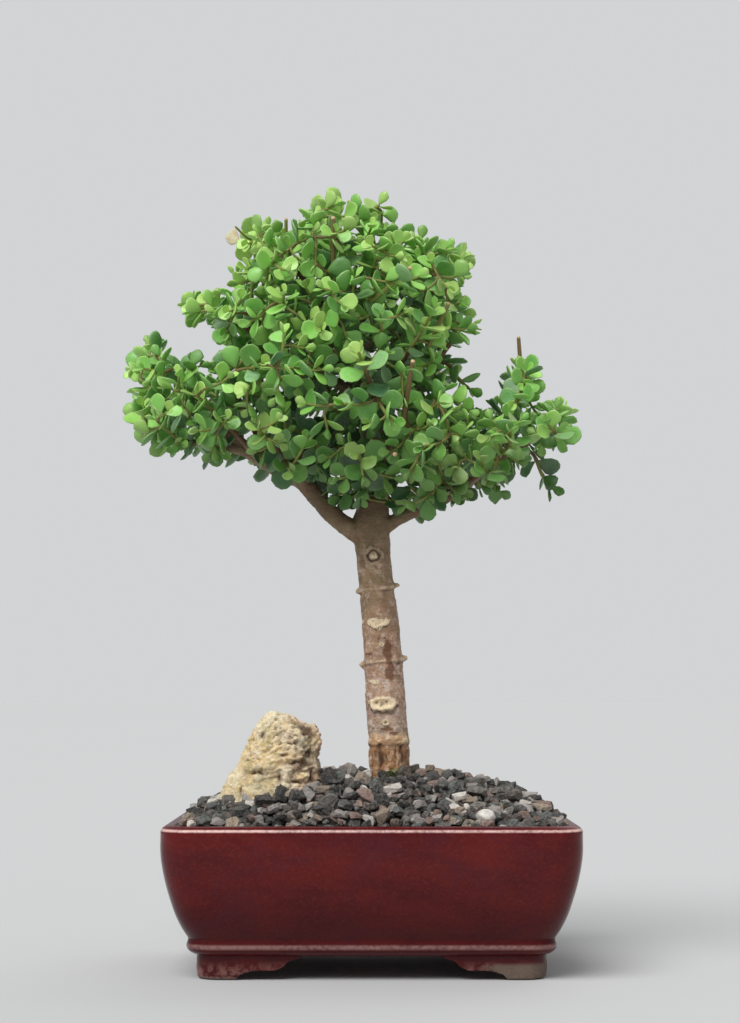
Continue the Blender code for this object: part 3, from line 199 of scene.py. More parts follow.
# Leafy branches: name, points from the wood that carries them to their tip, radius, bare share
BRANCHES = [
    ("crown_top", [(-12.2, 6.0, 438), (-20, 4, 460), (-29, 2, 488)], 2.5, 0.10),
    ("crown_top_front", [(-8.0, 8, 404), (-3, -12, 424), (3, -42, 446)], 3.0, 0.34),
    ("crown_top_back", [(-9.0, 7.4, 412), (-12, 26, 434), (-15, 51, 464)], 3.0, 0.34),
    ("upper_left", [(-7.4, 8.2, 398), (-28, 2, 422), (-50, -6, 446), (-72, -6, 470)], 3.4, 0.34),
    ("upper_right", [(-6.8, 8.4, 394), (12, 3, 414), (34, -4, 434), (58, -6, 454)], 3.4, 0.34),
    ("upper_back_left", [(-5.6, 8.6, 386), (-26, 28, 406), (-50, 63, 438)], 3.4, 0.36),
    ("upper_back_right", [(-5.0, 8.8, 382), (14, 35, 402), (38, 65, 436)], 3.4, 0.36),
    ("middle_left", [(-2.4, 8.8, 362), (-32, 2, 378), (-66, -8, 398), (-108, -6, 422)], 4.2, 0.36),
    ("middle_right", [(-0.6, 8.2, 350), (20, 4, 364), (42, 0, 386), (62, 0, 414)], 3.8, 0.36),
    ("front_high_left", [(-4.6, 8.8, 378), (-22, -16, 386), (-40, -63, 402)], 3.4, 0.38),
    ("front_middle", [(1.0, 6.8, 332), (3, -22, 346), (0, -58, 360), (-8, -93, 378)], 4.2, 0.40),
    ("front_high_right", [(-2.6, 8.6, 366), (14, -16, 376), (32, -58, 398)], 3.4, 0.38),
    ("front_right", [(1.4, 6.6, 326), (22, -20, 338), (42, -60, 352)], 3.6, 0.38),
    ("front_low_left", [(-42, -1.0, 305), (-52, -26, 318), (-70, -67, 334)], 3.4, 0.34),
    ("front_low", [(1.8, 5.6, 306), (-2, -24, 310), (-8, -72, 318)], 3.6, 0.40),
    ("left_end", [(-84, -4.0, 330), (-104, -6, 346), (-128, -6, 358), (-151, -2, 375)], 3.4, 0.10),
    ("left_low", [(-80, -3.4, 327.3), (-104, -14, 330), (-126, -18, 334), (-144, -16, 342)], 3.0, 0.20),
    ("left_front", [(-70, -1.8, 321), (-86, -24, 336), (-110, -53, 358)], 3.0, 0.28),
    ("left_back", [(-74, -2.2, 323.4), (-90, 22, 338), (-114, 51, 362)], 3.0, 0.28),
    ("left_high", [(-62, -1.2, 316.6), (-78, 4, 346), (-98, 10, 388)], 3.0, 0.26),
    ("right_end", [(75, 2.0, 317.4), (94, 5, 330), (112, 6, 340), (126, 6, 354)], 2.9, 0.10),
    ("right_high", [(64, 1.4, 309.4), (80, 4, 336), (96, 2, 382)], 2.8, 0.28),
    ("right_front", [(56, 0.8, 303.6), (70, -20, 312), (86, -44, 326)], 2.8, 0.28),
    ("right_low", [(41, 0.2, 294.2), (46, -20, 300), (42, -49, 314)], 2.8, 0.28),
    ("right_back", [(60, 1.2, 306.4), (76, 24, 322), (94, 56, 346)], 2.8, 0.28),
    ("back_middle", [(0.8, 7.4, 336), (-2, 42, 350), (-8, 95, 374)], 4.2, 0.38),
    ("back_left", [(-3.0, 9.0, 368), (-32, 44, 380), (-62, 84, 398)], 3.8, 0.36),
    ("back_right", [(-1.4, 8.6, 356), (24, 42, 370), (52, 86, 394)], 3.8, 0.36),
    ("back_low", [(1.9, 5.8, 312), (6, 39, 318), (6, 84, 328)], 3.6, 0.38),
    ("back_low_left", [(-50, -1.0, 310.2), (-62, 26, 320), (-78, 72, 340)], 3.4, 0.30),
    ("back_low_right", [(50, 0.6, 299.6), (54, 26, 308), (52, 72, 322)], 2.8, 0.28),
]  # fmt: skip
TIP_RADIUS = 0.9 * MM
BRANCH_TAPER = 0.8
BRANCH_STEP = 12
BRANCH_GAP = 0.3 * MM
PROXY_SIDES = 3
LIMB_SIDES = 4
# Sides and spacing of the trunk and the low limbs in the solids
TRUNK_SIDES = 9
LEFT_LIMB_SIDES = 7
RIGHT_LIMB_SIDES = 6
LIMB_SPACING = 13
CROWN_HEART = (-8, 4, 350)
# Rounded clouds that the side shoots stay in: (middle, half sizes)
CLOUDS = [
    ((-8, 2, 390), (80, 104, 102)),
    ((-104, -2, 374), (54, 68, 56)),
    ((96, 4, 346), (40, 60, 52)),
    ((-14, 2, 336), (78, 96, 42)),
]
SIDE_SHOOTS = 27
SHOOT_TRIES = 60
SHOOT_LENGTH = (25.0 * MM, 36.0 * MM)
SHOOT_PLACES = (0.15, 0.7)
SHOOT_RADIUS = 1.15 * MM
SHOOT_STEPS = 3
TIP_SPACING = 42.0 * MM
GROWTH_SEED = 21
# The crown's outline as it is seen from the front: (x, height), clockwise from the top
CROWN_OUTLINE = [
    (-44.1, 493.9), (-35.7, 498.4), (-24.8, 499.1), (-9.3, 492.0), (0.3, 486.2), (8.7, 491.3),
    (17.1, 486.8), (19.0, 479.1), (44.1, 470.7), (63.4, 468.2), (69.2, 459.8), (67.3, 449.5),
    (69.8, 435.3), (64.7, 425.0), (74.3, 410.9), (79.5, 401.2), (66.0, 400.6), (54.4, 396.1),
    (51.8, 381.3), (58.3, 365.2), (72.4, 362.0), (82.7, 372.3), (88.5, 386.4), (93.7, 403.8),
    (99.5, 403.2), (102.7, 391.6), (112.3, 390.9), (114.9, 365.8), (125.8, 362.6), (135.5, 347.8),
    (136.1, 337.5), (129.7, 329.8), (107.2, 324.0), (91.7, 306.6), (90.4, 297.6), (51.8, 291.2),
    (32.5, 280.9), (-26.7, 288.6), (-37.7, 296.3), (-46.0, 305.3), (-78.2, 318.2), (-99.5, 316.9),
    (-136.1, 326.6), (-152.9, 322.1), (-160.6, 352.3), (-159.3, 364.5), (-163.2, 378.7), (-155.5, 394.8),
    (-147.7, 405.7), (-131.0, 405.1), (-125.8, 399.3), (-133.6, 391.6), (-106.5, 390.9), (-105.9, 402.5),
    (-123.9, 400.6), (-123.9, 417.3), (-129.7, 427.0), (-114.9, 437.3), (-93.7, 434.7), (-98.8, 446.9),
    (-83.4, 457.2), (-93.0, 463.7), (-87.9, 481.7), (-66.6, 484.3), (-53.7, 477.8),
]  # fmt: skip
# Where random places in it are drawn from, and how far inside its edge they stay
CROWN_SPAN = (-160, 138)
CROWN_HEIGHTS = (285, 500)
OUTLINE_MARGIN = 7.0
# The crown is this deep to either side of its middle, and reaches that depth this far inside its outline
CROWN_HALF_DEPTH = 84.0
CROWN_ROUNDING = 60.0
# Where it is seen from: distance in front of the pot's middle and height
EYE_DISTANCE = 1393.0
EYE_HEIGHT = 174.0
# Finer shoots that only the looks have, each grown into the emptiest of some random places
FINE_TRIES = 16
FINE_SHORTEST = 9.0 * MM
FINE_LONGEST = 25.0 * MM
FINE_STEP = 5.0 * MM
FINE_RADIUS = 0.85 * MM
FINE_LEAF = 0.98
FINE_SEED = 8
# Bare stubs: base, tip, radius at the base and tip, how green, and how pale the cut end
STUBS = [
    ((20.4, -60.0, 344.5), (25.3, -80.0, 375.0), 1.9, 1.5, 0.15, 1.0),
    ((0.9, -62.0, 415.8), (24.4, -74.0, 433.7), 1.8, 1.6, 0.75, 1.0),
    ((39.0, -20.0, 428.4), (43.5, -24.0, 451.3), 1.6, 1.2, 0.2, 0.6),
    ((36.9, -48.0, 391.3), (48.2, -58.0, 414.6), 1.6, 1.3, 0.4, 0.6),
    ((-77.2, -30.0, 420.9), (-74.6, -34.0, 438.6), 1.2, 1.0, 0.6, 0.4),
    ((-24.0, -52.0, 444.0), (-24.0, -62.0, 468.0), 1.7, 1.5, 0.3, 1.0),
    ((-55.6, 0.0, 464.0), (-55.6, -4.0, 480.0), 1.2, 1.1, 0.7, 1.0),
    ((-15.1, 0.0, 478.0), (-15.1, -2.0, 492.4), 1.0, 0.8, 0.6, 1.0),
    ((10.0, -48.0, 322.0), (14.4, -74.0, 317.7), 1.8, 1.6, 0.0, 1.0),
    ((97.0, 2.0, 380.0), (95.4, 0.0, 403.0), 1.5, 1.2, 0.15, 1.0),
    ((84.5, 0.0, 341.0), (87.7, -4.0, 359.0), 1.2, 0.9, 0.3, 0.3),
    ((-80.0, -2.0, 467.0), (-88.6, -6.0, 474.0), 0.9, 0.7, 0.6, 0.0),
]  # fmt: skip
# The one dry leaf hangs from the end of the last stub
DRY_LEAF = (-88.6, -6.0, 473.5)
DRY_LEAF_BRANCH = "upper_left"
DRY_LEAF_LENGTH = 12 * MM

# Leaf pairs counted back from a shoot's tip: (distance, share of a full leaf's length, angle from the shoot)
LEAF_PAIRS = [(1.0, 0.60, 38.0), (8.5, 0.88, 60.0), (19.5, 1.03, 72.0), (31.5, 1.07, 80.0),
              (44.0, 1.04, 82.0), (56.5, 0.98, 84.0)]  # fmt: skip
FINE_PAIRS = [(0.8, 0.50, 34.0), (6.0, 0.76, 56.0), (14.0, 0.94, 70.0), (23.0, 1.0, 78.0)]
LEAF_THICK = 1.9 * MM
MAIN_PAIRS = 4
SHOOT_PAIRS = 3
LEAF_OUTLINE = [(0.0, 0.01), (0.29, 0.30), (0.43, 0.66), (0.21, 0.98), (-0.21, 0.98), (-0.43, 0.66),
                (-0.29, 0.30)]  # fmt: skip
LEAF_KEEL = 0.5
LEAF_CUP = 0.07
LEAF_CLEAR = 0.5 * MM
FINE_CLEAR = 0.15 * MM
LEAF_STALK = 0.34
LEAF_ROLL = 14
LEAF_WOBBLE = 9
LEAF_SPREAD = 8
LEAF_SIZES = (0.88, 1.1)
LEAF_BENDS = [(0, 0, 1), (14, 0, 1), (-14, 0, 1), (0, -14, 1), (0, 12, 1), (28, 0, 0.95), (-28, 0, 0.95),
              (20, -16, 0.9), (-20, -16, 0.9), (0, -26, 0.85), (38, -8, 0.8), (-38, -8, 0.8),
              (0, 22, 0.8), (30, 20, 0.75), (-30, 20, 0.75), (0, -34, 0.7)]  # fmt: skip


def at(x, y, z):
    """A place given in millimetres from the middle of the pot's footprint."""
    return Vector((x, y, z)) * MM


# Work on objects


def activate(obj):
    for other in bpy.context.selected_objects:
        other.select_set(False)
    obj.select_set(True)
    bpy.context.view_layer.objects.active = obj


def add_primitive(operator, name, **settings):
    """Adds a primitive by its operator and leaves it alone selected."""
    for other in bpy.context.selected_objects:
        other.select_set(False)
    operator(**settings)
    obj = bpy.context.object
    obj.name = name
    obj.data.name = name
    return obj


def mesh_object(name, points, faces):
    mesh = bpy.data.meshes.new(name)
    mesh.from_pydata([tuple(p) for p in points], [], [tuple(f) for f in faces])
    obj = bpy.data.objects.new(name, mesh)
    bpy.context.scene.collection.objects.link(obj)
    return obj


def use_modifier(obj, kind, **settings):
    """Adds a modifier and applies it."""
    activate(obj)
    modifier = obj.modifiers.new(kind.title(), kind)
    for key, value in settings.items():
        setattr(modifier, key, value)
    bpy.ops.object.modifier_apply(modifier=modifier.name)


def boolean(obj, other, operation):
    use_modifier(obj, "BOOLEAN", object=other, operation=operation, solver="EXACT")
    bpy.data.objects.remove(other, do_unlink=True)


def join(objects, name):
    activate(objects[0])
    for obj in objects:
        obj.select_set(True)
    bpy.ops.object.join()
    objects[0].name = name
    objects[0].data.name = name
    return objects[0]


def settle(obj):
    """Puts the object's place, turn and size into its mesh."""
    obj.data.transform(obj.matrix_world)
    obj.matrix_world = Matrix.Identity(4)


def face_outwards(obj):
    activate(obj)
    bpy.ops.object.mode_set(mode="EDIT")
    bpy.ops.mesh.select_all(action="SELECT")
    bpy.ops.mesh.normals_make_consistent(inside=False)
    bpy.ops.object.mode_set(mode="OBJECT")


def points_of(obj):
    flat = np.empty(len(obj.data.vertices) * 3)
    obj.data.vertices.foreach_get("co", flat)
    return flat.reshape(-1, 3)


def normals_of(obj):
    flat = np.empty(len(obj.data.vertices) * 3)
    obj.data.vertices.foreach_get("normal", flat)
    return flat.reshape(-1, 3)


def move_points(obj, points):
    obj.data.vertices.foreach_set("co", np.asarray(points).ravel())
    obj.data.update()


def add_attribute(obj, name, values):
    attribute = obj.data.attributes.new(name, "FLOAT", "POINT")
    attribute.data.foreach_set("value", np.asarray(values, np.float32))


def finish_piece(obj, material, replaced=()):
    """Puts a finished piece in the row's frame, with its material, its body and what it stands for."""
    obj.data.transform(Matrix.Translation(MIDDLE))
    obj.data.materials.clear()
    obj.data.materials.append(material)
    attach(obj, BODY)
    if replaced:
        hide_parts(*replaced)
    return obj


def finish_smooth(obj, material, replaced=()):
    face_outwards(obj)
    obj.data.shade_smooth()
    return finish_piece(obj, material, replaced)


class Heap:
    """Copies of small shapes gathered in one mesh, each with its own place and its own numbers."""

    def __init__(self, *names):
        self.points = []
        self.faces = []
        self.values = {name: [] for name in names}
        self.count = 0

    def add(self, points, faces, place, **values):
        turn = np.array(place.to_3x3())
        moved = points @ turn.T + np.array(place.translation)
        self.points.append(moved)
        self.faces += [tuple(i + self.count for i in face) for face in faces]
        for name, rows in self.values.items():
            rows.append(np.broadcast_to(np.asarray(values[name], float), (len(points),)))
        self.count += len(points)

    def add_in_place(self, points, faces, **values):
        self.add(np.array([tuple(p) for p in points]), faces, Matrix.Identity(4), **values)

    def build(self, name):
        obj = mesh_object(name, np.concatenate(self.points), self.faces)
        for key, rows in self.values.items():
            add_attribute(obj, key, np.concatenate(rows))
        return obj


# Shader nodes


class Wire:
    """An output of a shader node, on which sums are written as plain expressions."""

    def __init__(self, finish, socket):
        self.finish = finish
        self.socket = socket

    def sum(self, operation, first, second):
        return self.finish.node("ShaderNodeMath", {"operation": operation}, {0: first, 1: second})

    def __add__(self, other):
        return self.sum("ADD", self, other)

    __radd__ = __add__

    def __sub__(self, other):
        return self.sum("SUBTRACT", self, other)

    def __rsub__(self, other):
        return self.sum("SUBTRACT", other, self)

    def __mul__(self, other):
        return self.sum("MULTIPLY", self, other)

    __rmul__ = __mul__

    def __pow__(self, other):
        return self.sum("POWER", self, other)

    def clamp(self):
        return self.finish.node("ShaderNodeClamp", {}, {"Value": self}, "Result")


class Finish:
    """A Principled material, built up from nodes."""

    def __init__(self, name, **fixed):
        self.material = bpy.data.materials.new(name)
        self.material.use_nodes = True
        self.tree = self.material.node_tree
        self.shader = self.tree.nodes["Principled BSDF"]
        for key, value in fixed.items():
            self.shader.inputs[key.replace("_", " ")].default_value = value

    def node(self, kind, settings, inputs, output=0):
        """One node: its type, its own settings, then the values or wires of its sockets."""
        made = self.tree.nodes.new(kind)
        for key, value in settings.items():
            if key == "stops":
                self.set_stops(made.color_ramp, value)
            else:
                setattr(made, key, value)
        for key, value in inputs.items():
            if isinstance(value, Wire):
                self.tree.links.new(value.socket, made.inputs[key])
            else:
                made.inputs[key].default_value = value
        return Wire(self, made.outputs[output])

    @staticmethod
    def set_stops(ramp, stops):
        while len(ramp.elements) < len(stops):
            ramp.elements.new(1.0)
        for element, (position, colour) in zip(ramp.elements, stops):
            element.position = position
            element.color = (*colour, 1.0)

    def place(self):
        return self.node("ShaderNodeTexCoord", {}, {}, "Object")

    def stretched(self, scale):
        return self.node("ShaderNodeMapping", {}, {"Vector": self.place(), "Scale": scale})

    def axis(self, name):
        return self.node("ShaderNodeSeparateXYZ", {}, {"Vector": self.place()}, name)

    def attribute(self, name):
        return self.node("ShaderNodeAttribute", {"attribute_name": name}, {}, "Fac")

    def noise(self, scale, detail=3.0, roughness=0.5, where=None, distortion=0.0):
        inputs = {"Vector": where or self.place(), "Scale": scale, "Detail": detail, "Roughness": roughness,
                  "Distortion": distortion}  # fmt: skip
        return self.node("ShaderNodeTexNoise", {}, inputs, 0)

    def cells(self, scale):
        return self.node("ShaderNodeTexVoronoi", {}, {"Vector": self.place(), "Scale": scale}, "Distance")

    def ramp(self, value, *stops, interpolation="LINEAR"):
        made = self.node("ShaderNodeValToRGB", {"stops": stops}, {"Fac": value}, "Color")
        made.socket.node.color_ramp.interpolation = interpolation
        return made

    def between(self, value, low, high, to_low=0.0, to_high=1.0, straight=False):
        """The value carried from one range to another, and kept inside it."""
        inputs = {0: value, 1: low, 2: high, 3: to_low, 4: to_high}
        kind = "LINEAR" if straight else "SMOOTHSTEP"
        return self.node("ShaderNodeMapRange", {"interpolation_type": kind}, inputs)

    def mix(self, factor, first, second):
        """Two colours mixed; a plain colour is given as (red, green, blue)."""
        first = first if isinstance(first, Wire) else (*first, 1.0)
        second = second if isinstance(second, Wire) else (*second, 1.0)
        return self.node("ShaderNodeMix", {"data_type": "RGBA"}, {0: factor, 6: first, 7: second}, 2)

    def bump(self, height, distance, strength=1.0):
        inputs = {"Strength": strength, "Distance": distance, "Height": height}
        return self.node("ShaderNodeBump", {}, inputs, "Normal")

    def over(self, factor, second):
        """Lays a colour over the one built up so far, as thickly as the factor says."""
        self.colour = self.mix(factor, self.colour, second)

    def drive(self, name, wire):
        self.tree.links.new(wire.socket, self.shader.inputs[name])

    def done(self, colour=None, **wires):
        """Drives the shader by the colour and the wires given, and gives the material."""
        self.drive("Base Color", colour or self.colour)
        for name, wire in wires.items():
            self.drive(name, wire)
        return self.material


# Growth of the crown, as in the solids, then finer


def smooth_line(points, spacing):
    """Points about that far apart on a smooth curve through the given ones, with the curve's own numbers
    beyond x, y and z, such as its radius, carried along."""
    before = [2 * a - b for a, b in zip(points[0], points[1])]
    after = [2 * a - b for a, b in zip(points[-1], points[-2])]
    row = [before, *points, after]
    fine = []
    steps = 12
    for k in range(1, len(row) - 2):
        for step in range(steps):
            t = step / steps
            fine.append([
                b + 0.5 * ((c - a) * t + (2 * a - 5 * b + 4 * c - d) * t**2 + (3 * b - a - 3 * c + d) * t**3)
                for a, b, c, d in zip(*row[k - 1 : k + 3])
            ])
    fine.append(list(points[-1]))
    lengths = [0.0]
    for a, b in zip(fine, fine[1:]):
        lengths.append(lengths[-1] + math.dist(a[:3], b[:3]))
    count = max(2, round(lengths[-1] / spacing))
    line = []
    k = 0
    for i in range(count + 1):
        target = lengths[-1] * i / count
        while k < len(lengths) - 2 and lengths[k + 1] < target:
            k += 1
        t = (target - lengths[k]) / (lengths[k + 1] - lengths[k])
        line.append([a + (b - a) * t for a, b in zip(fine[k], fine[k + 1])])
    return line


def loft(rings):
    """Points and faces of a skin over rings of equal point counts, capped at both ends."""
    count = len(rings[0])
    points = [p for ring in rings for p in ring]
    faces = []
    for i in range(len(rings) - 1):
        low = i * count
        high = low + count
        for j in range(count):
            k = (j + 1) % count
            faces.append((low + j, low + k, high + k, high + j))
    faces.append(tuple(reversed(range(count))))
    last = (len(rings) - 1) * count
    faces.append(tuple(range(last, last + count)))
    return points, faces


def tube(line, radii, sides, start=None, end=None):
    """Points and faces of a round bar along the line. start and end set the directions of its end faces."""
    directions = []
    for i in range(len(line)):
        before = line[max(i - 1, 0)]
        after = line[min(i + 1, len(line) - 1)]
        directions.append((after - before).normalized())
    directions[0] = start or directions[0]
    directions[-1] = end or directions[-1]
    across = directions[0].orthogonal().normalized()
    rings = []
    for centre, direction, radius in zip(line, directions, radii):
        across = (across - direction * across.dot(direction)).normalized()
        side = direction.cross(across)
        turns = [math.tau * i / sides for i in range(sides)]
        rings.append([centre + (across * math.cos(a) + side * math.sin(a)) * radius for a in turns])
    return loft(rings)


def bar(rows, sides, **ends):
    """A round bar along rows of (x, y, height, radius) in millimetres."""
    return tube([at(*row[:3]) for row in rows], [row[3] * MM for row in rows], sides, **ends)


def place_on(line, distance):
    """The point that far along the line, and the line's direction there."""
    for a, b in zip(line, line[1:]):
        length = (b - a).length
        if distance <= length or b is line[-1]:
            return a.lerp(b, min(distance / length, 1)), (b - a).normalized()
        distance -= length


def length_of(line):
    return sum((b - a).length for a, b in zip(line, line[1:]))


class Branch:
    """One leafy branch: bare inner wood, then its own wood, shoots and leaves."""

    def __init__(self, name, points, radius, bare):
        line = [Vector(p) * MM for p in smooth_line(points, BRANCH_STEP)]
        total = length_of(line)
        seat, self.seat_direction = place_on(line, bare * total)
        reaches = [length_of(line[: i + 1]) for i in range(1, len(line))]
        inner_count = sum(reach < bare * total - 2 * MM for reach in reaches)
        outer_count = sum(reach > bare * total + 3 * MM for reach in reaches)
        self.name = name
        self.inner = line[: inner_count + 1] + [seat]
        self.outer = [seat + self.seat_direction * BRANCH_GAP] + line[len(line) - outer_count :]
        self.base_radius = radius * MM
        self.seat_radius = self.base_radius + (TIP_RADIUS - self.base_radius) * bare**BRANCH_TAPER
        self.shoots = []
        self.leaves = []

    def inner_radii(self):
        steps = len(self.inner) - 1
        thinner = self.seat_radius - self.base_radius
        return [self.base_radius + thinner * i / steps for i in range(steps + 1)]

    def outer_radii(self):
        steps = len(self.outer) - 1
        thinner = TIP_RADIUS - self.seat_radius
        return [self.seat_radius + thinner * (i / steps) ** BRANCH_TAPER for i in range(steps + 1)]

    def outer_tube(self):
        return tube(self.outer, self.outer_radii(), PROXY_SIDES, start=self.seat_direction)

    def lines(self):
        return [self.outer] + [line for line, _ in self.shoots]


def outside_crown(point):
    """How far the point lies outside the crown's clouds, in metres, or minus how far inside."""
    distances = []
    for middle, half in CLOUDS:
        offset = point - at(*middle)
        share = Vector([offset[i] / (half[i] * MM) for i in range(3)]).length
        distances.append((share - 1) * min(half) * MM)
    return min(distances)


def curved_shoot(start, parent_direction, direction, length, parts):
    """A shoot's line: it leaves along its branch, swings to its own direction and turns up at its tip."""
    tip = start + direction * length
    first = start + (parent_direction * 0.45 + direction * 0.55).normalized() * length * 0.35
    second = tip - (direction * 0.8 + UP * 0.3).normalized() * length * 0.35
    line = []
    for i in range(parts + 1):
        t = i / parts
        near_start = start * (1 - t) ** 3 + first * 3 * t * (1 - t) ** 2
        near_tip = second * 3 * t**2 * (1 - t) + tip * t**3
        line.append(near_start + near_tip)
    return line


class Space:
    """What is in place so far, sorted into boxes, to keep new leaves and shoots clear of it."""

    BOX = 25 * MM

    def __init__(self):
        self.boxes = {}

    def keys(self, centre, reach):
        low = [math.floor((value - reach) / self.BOX) for value in centre]
        high = [math.floor((value + reach) / self.BOX) for value in centre]
        spans = [range(a, b + 1) for a, b in zip(low, high)]
        return [(i, j, k) for i in spans[0] for j in spans[1] for k in spans[2]]

    @staticmethod
    def ball(points):
        centre = sum(points, Vector()) / len(points)
        return centre, max((p - centre).length for p in points)

    def add(self, owner, points, faces):
        centre, reach = self.ball(points)
        item = (owner, centre, reach, BVHTree.FromPolygons(points, faces))
        for key in self.keys(centre, reach):
            self.boxes.setdefault(key, []).append(item)

    def is_hit(self, points, faces, owner, own):
        """Whether the shape meets anything of that owner (own True) or of all others (own False)."""
        centre, reach = self.ball(points)
        tree = None
        seen = set()
        for key in self.keys(centre, reach):
            for item in self.boxes.get(key, ()):
                other, middle, size, other_tree = item
                if id(item) in seen or (other == owner) != own:
                    continue
                seen.add(id(item))
                if (middle - centre).length > size + reach:
                    continue
                tree = tree or BVHTree.FromPolygons(points, faces)
                if tree.overlap(other_tree):
                    return True
        return False


def proxy_leaf(place, length, root=0.0, swell=0.0):
    """A leaf as the solids have it. root is where it starts along its length, and swell makes it fatter."""
    widest = max(x for x, _ in LEAF_OUTLINE)
    points = []
    for x, y in LEAF_OUTLINE:
        along = max(y, root)
        lift = LEAF_CUP * length * (0.7 * (x / widest) ** 2 + max(0, along - LEAF_KEEL))
        further = swell if y > LEAF_KEEL else 0
        corner = Vector((x * (length + swell / widest), along * length + further, lift + swell))
        points.append(place @ corner)
    points.append(place @ Vector((0, LEAF_KEEL * length, -LEAF_THICK - swell)))
    count = len(LEAF_OUTLINE)
    faces = [((i + 1) % count, i, count) for i in range(count)]
    left, right = count - 1, 1
    faces.append((0, right, left))
    while right < left - 1:
        faces.append((left, right, right + 1))
        right += 1
        if right < left - 1:
            faces.append((left, right, left - 1))
            left -= 1
    return points, faces


def leaf_place(root, direction, across, spread, roll):
    """Where a leaf sits: its length leans out from the shoot by spread, and its upper face looks along it."""
    along = (direction * math.cos(spread) + across * math.sin(spread)).normalized()
    face = direction * math.sin(spread) - across * math.cos(spread)
    face = Matrix.Rotation(roll, 3, along) @ face
    side = along.cross(face)
    turn = Matrix((side, along, face)).transposed()
    return Matrix.Translation(root) @ turn.to_4x4()


def grow_leaf(branch, space, root, direction, across, spread, length, clear, age, draw):
    """Adds one leaf, bent or made smaller where it would cross another piece, or leaves it out."""
    roll = math.radians(draw.uniform(-LEAF_ROLL, LEAF_ROLL))
    wobble = math.radians(draw.uniform(-LEAF_WOBBLE, LEAF_WOBBLE))
    for swing, lean, size in LEAF_BENDS:
        turned = Matrix.Rotation(math.radians(swing) + wobble, 3, direction) @ across
        place = leaf_place(root, direction, turned, spread + math.radians(lean), roll)
        if space.is_hit(*proxy_leaf(place, length * size, swell=clear), branch.name, False):
            continue
        if space.is_hit(*proxy_leaf(place, length * size, root=LEAF_STALK), branch.name, True):
            continue
        branch.leaves.append((place, length * size, age))
        space.add(branch.name, *proxy_leaf(place, length * size))
        return


def grow_pairs(branch, space, line, pairs, first, last, clear, full, roll, draw):
    """Leaf pairs on a shoot, each turned a quarter from the one before, counted back from its tip."""
    total = length_of(line)
    for k in range(first, last):
        back, share, angle = pairs[k]
        if back * MM > total - 4 * MM:
            break
        root, direction = place_on(line, total - back * MM)
        across = direction.orthogonal().normalized()
        across = Matrix.Rotation(roll + k * math.pi / 2, 3, direction) @ across
        for side in (1, -1):
            spread = math.radians(angle + draw.uniform(-LEAF_SPREAD, LEAF_SPREAD))
            length = full * share * draw.uniform(*LEAF_SIZES)
            grow_leaf(branch, space, root, direction, across * side, spread, length, clear, k, draw)


def add_side_shoots(branches, space, draw):
    """Side shoots, one after another, each where the crown is emptiest among some drawn at random."""
    tips = [branch.outer[-1] for branch in branches]
    for _ in range(SIDE_SHOOTS):
        best = None
        for _ in range(SHOOT_TRIES):
            branch = draw.choice(branches)
            start, along = place_on(branch.outer, length_of(branch.outer) * draw.uniform(*SHOOT_PLACES))
            outward = (start - at(*CROWN_HEART)).normalized()
            wild = Vector([draw.gauss(0, 1) for _ in range(3)]).normalized()
            direction = (outward * 0.55 + wild + UP * 0.2 + along * 0.25).normalized()
            length = draw.uniform(*SHOOT_LENGTH)
            tip = start + direction * length
            spacing = min(min((tip - other).length for other in tips), TIP_SPACING)
            score = spacing - 3 * max(0, outside_crown(tip)) - 0.35 * max(0, -outside_crown(tip))
            if best is not None and score <= best[0]:
                continue
            line = curved_shoot(start, along, direction, length, SHOOT_STEPS)
            radii = [SHOOT_RADIUS] * SHOOT_STEPS + [TIP_RADIUS]
            guard = tube(line, [r + LEAF_CLEAR for r in radii], PROXY_SIDES)
            if space.is_hit(*guard, branch.name, False):
                continue
            best = (score, branch, line, radii, tip)
        _, branch, line, radii, tip = best
        tips.append(tip)
        branch.shoots.append((line, radii))
        space.add(branch.name, *tube(line, radii, PROXY_SIDES))
    return tips


def inside_outline(x, z):
    """How far a place lies inside the crown's front outline, in millimetres, or 0 outside it."""
    inside = False
    nearest = math.inf
    for (ax, az), (bx, bz) in zip(CROWN_OUTLINE, CROWN_OUTLINE[1:] + CROWN_OUTLINE[:1]):
        if (az > z) != (bz > z) and x < (bx - ax) * (z - az) / (bz - az) + ax:
            inside = not inside
        share = ((x - ax) * (bx - ax) + (z - az) * (bz - az)) / ((bx - ax) ** 2 + (bz - az) ** 2)
        share = min(1.0, max(0.0, share))
        nearest = min(nearest, math.hypot(x - ax - share * (bx - ax), z - az - share * (bz - az)))
    return nearest if inside else 0.0


def crown_place(draw):
    """A random place in the crown, more often near its front or its back than in its middle."""
    while True:
        x = draw.uniform(*CROWN_SPAN)
        z = draw.uniform(*CROWN_HEIGHTS)
        depth = inside_outline(x, z)
        if depth < OUTLINE_MARGIN:
            continue
        rounding = min(1.0, depth / CROWN_ROUNDING)
        half = CROWN_HALF_DEPTH * (1 - (1 - rounding) ** 2) ** 0.5
        y = draw.choice((-1, 1)) * half * draw.random() ** 0.7
        scale = (EYE_DISTANCE + y) / EYE_DISTANCE
        return at(x * scale, y, EYE_HEIGHT + (z - EYE_HEIGHT) * scale)


def wood_points(line, spacing):
    """Places along a line and its direction at each."""
    total = length_of(line)
    count = max(1, round(total / spacing))
    return [place_on(line, total * (i + 0.5) / count) for i in range(count)]


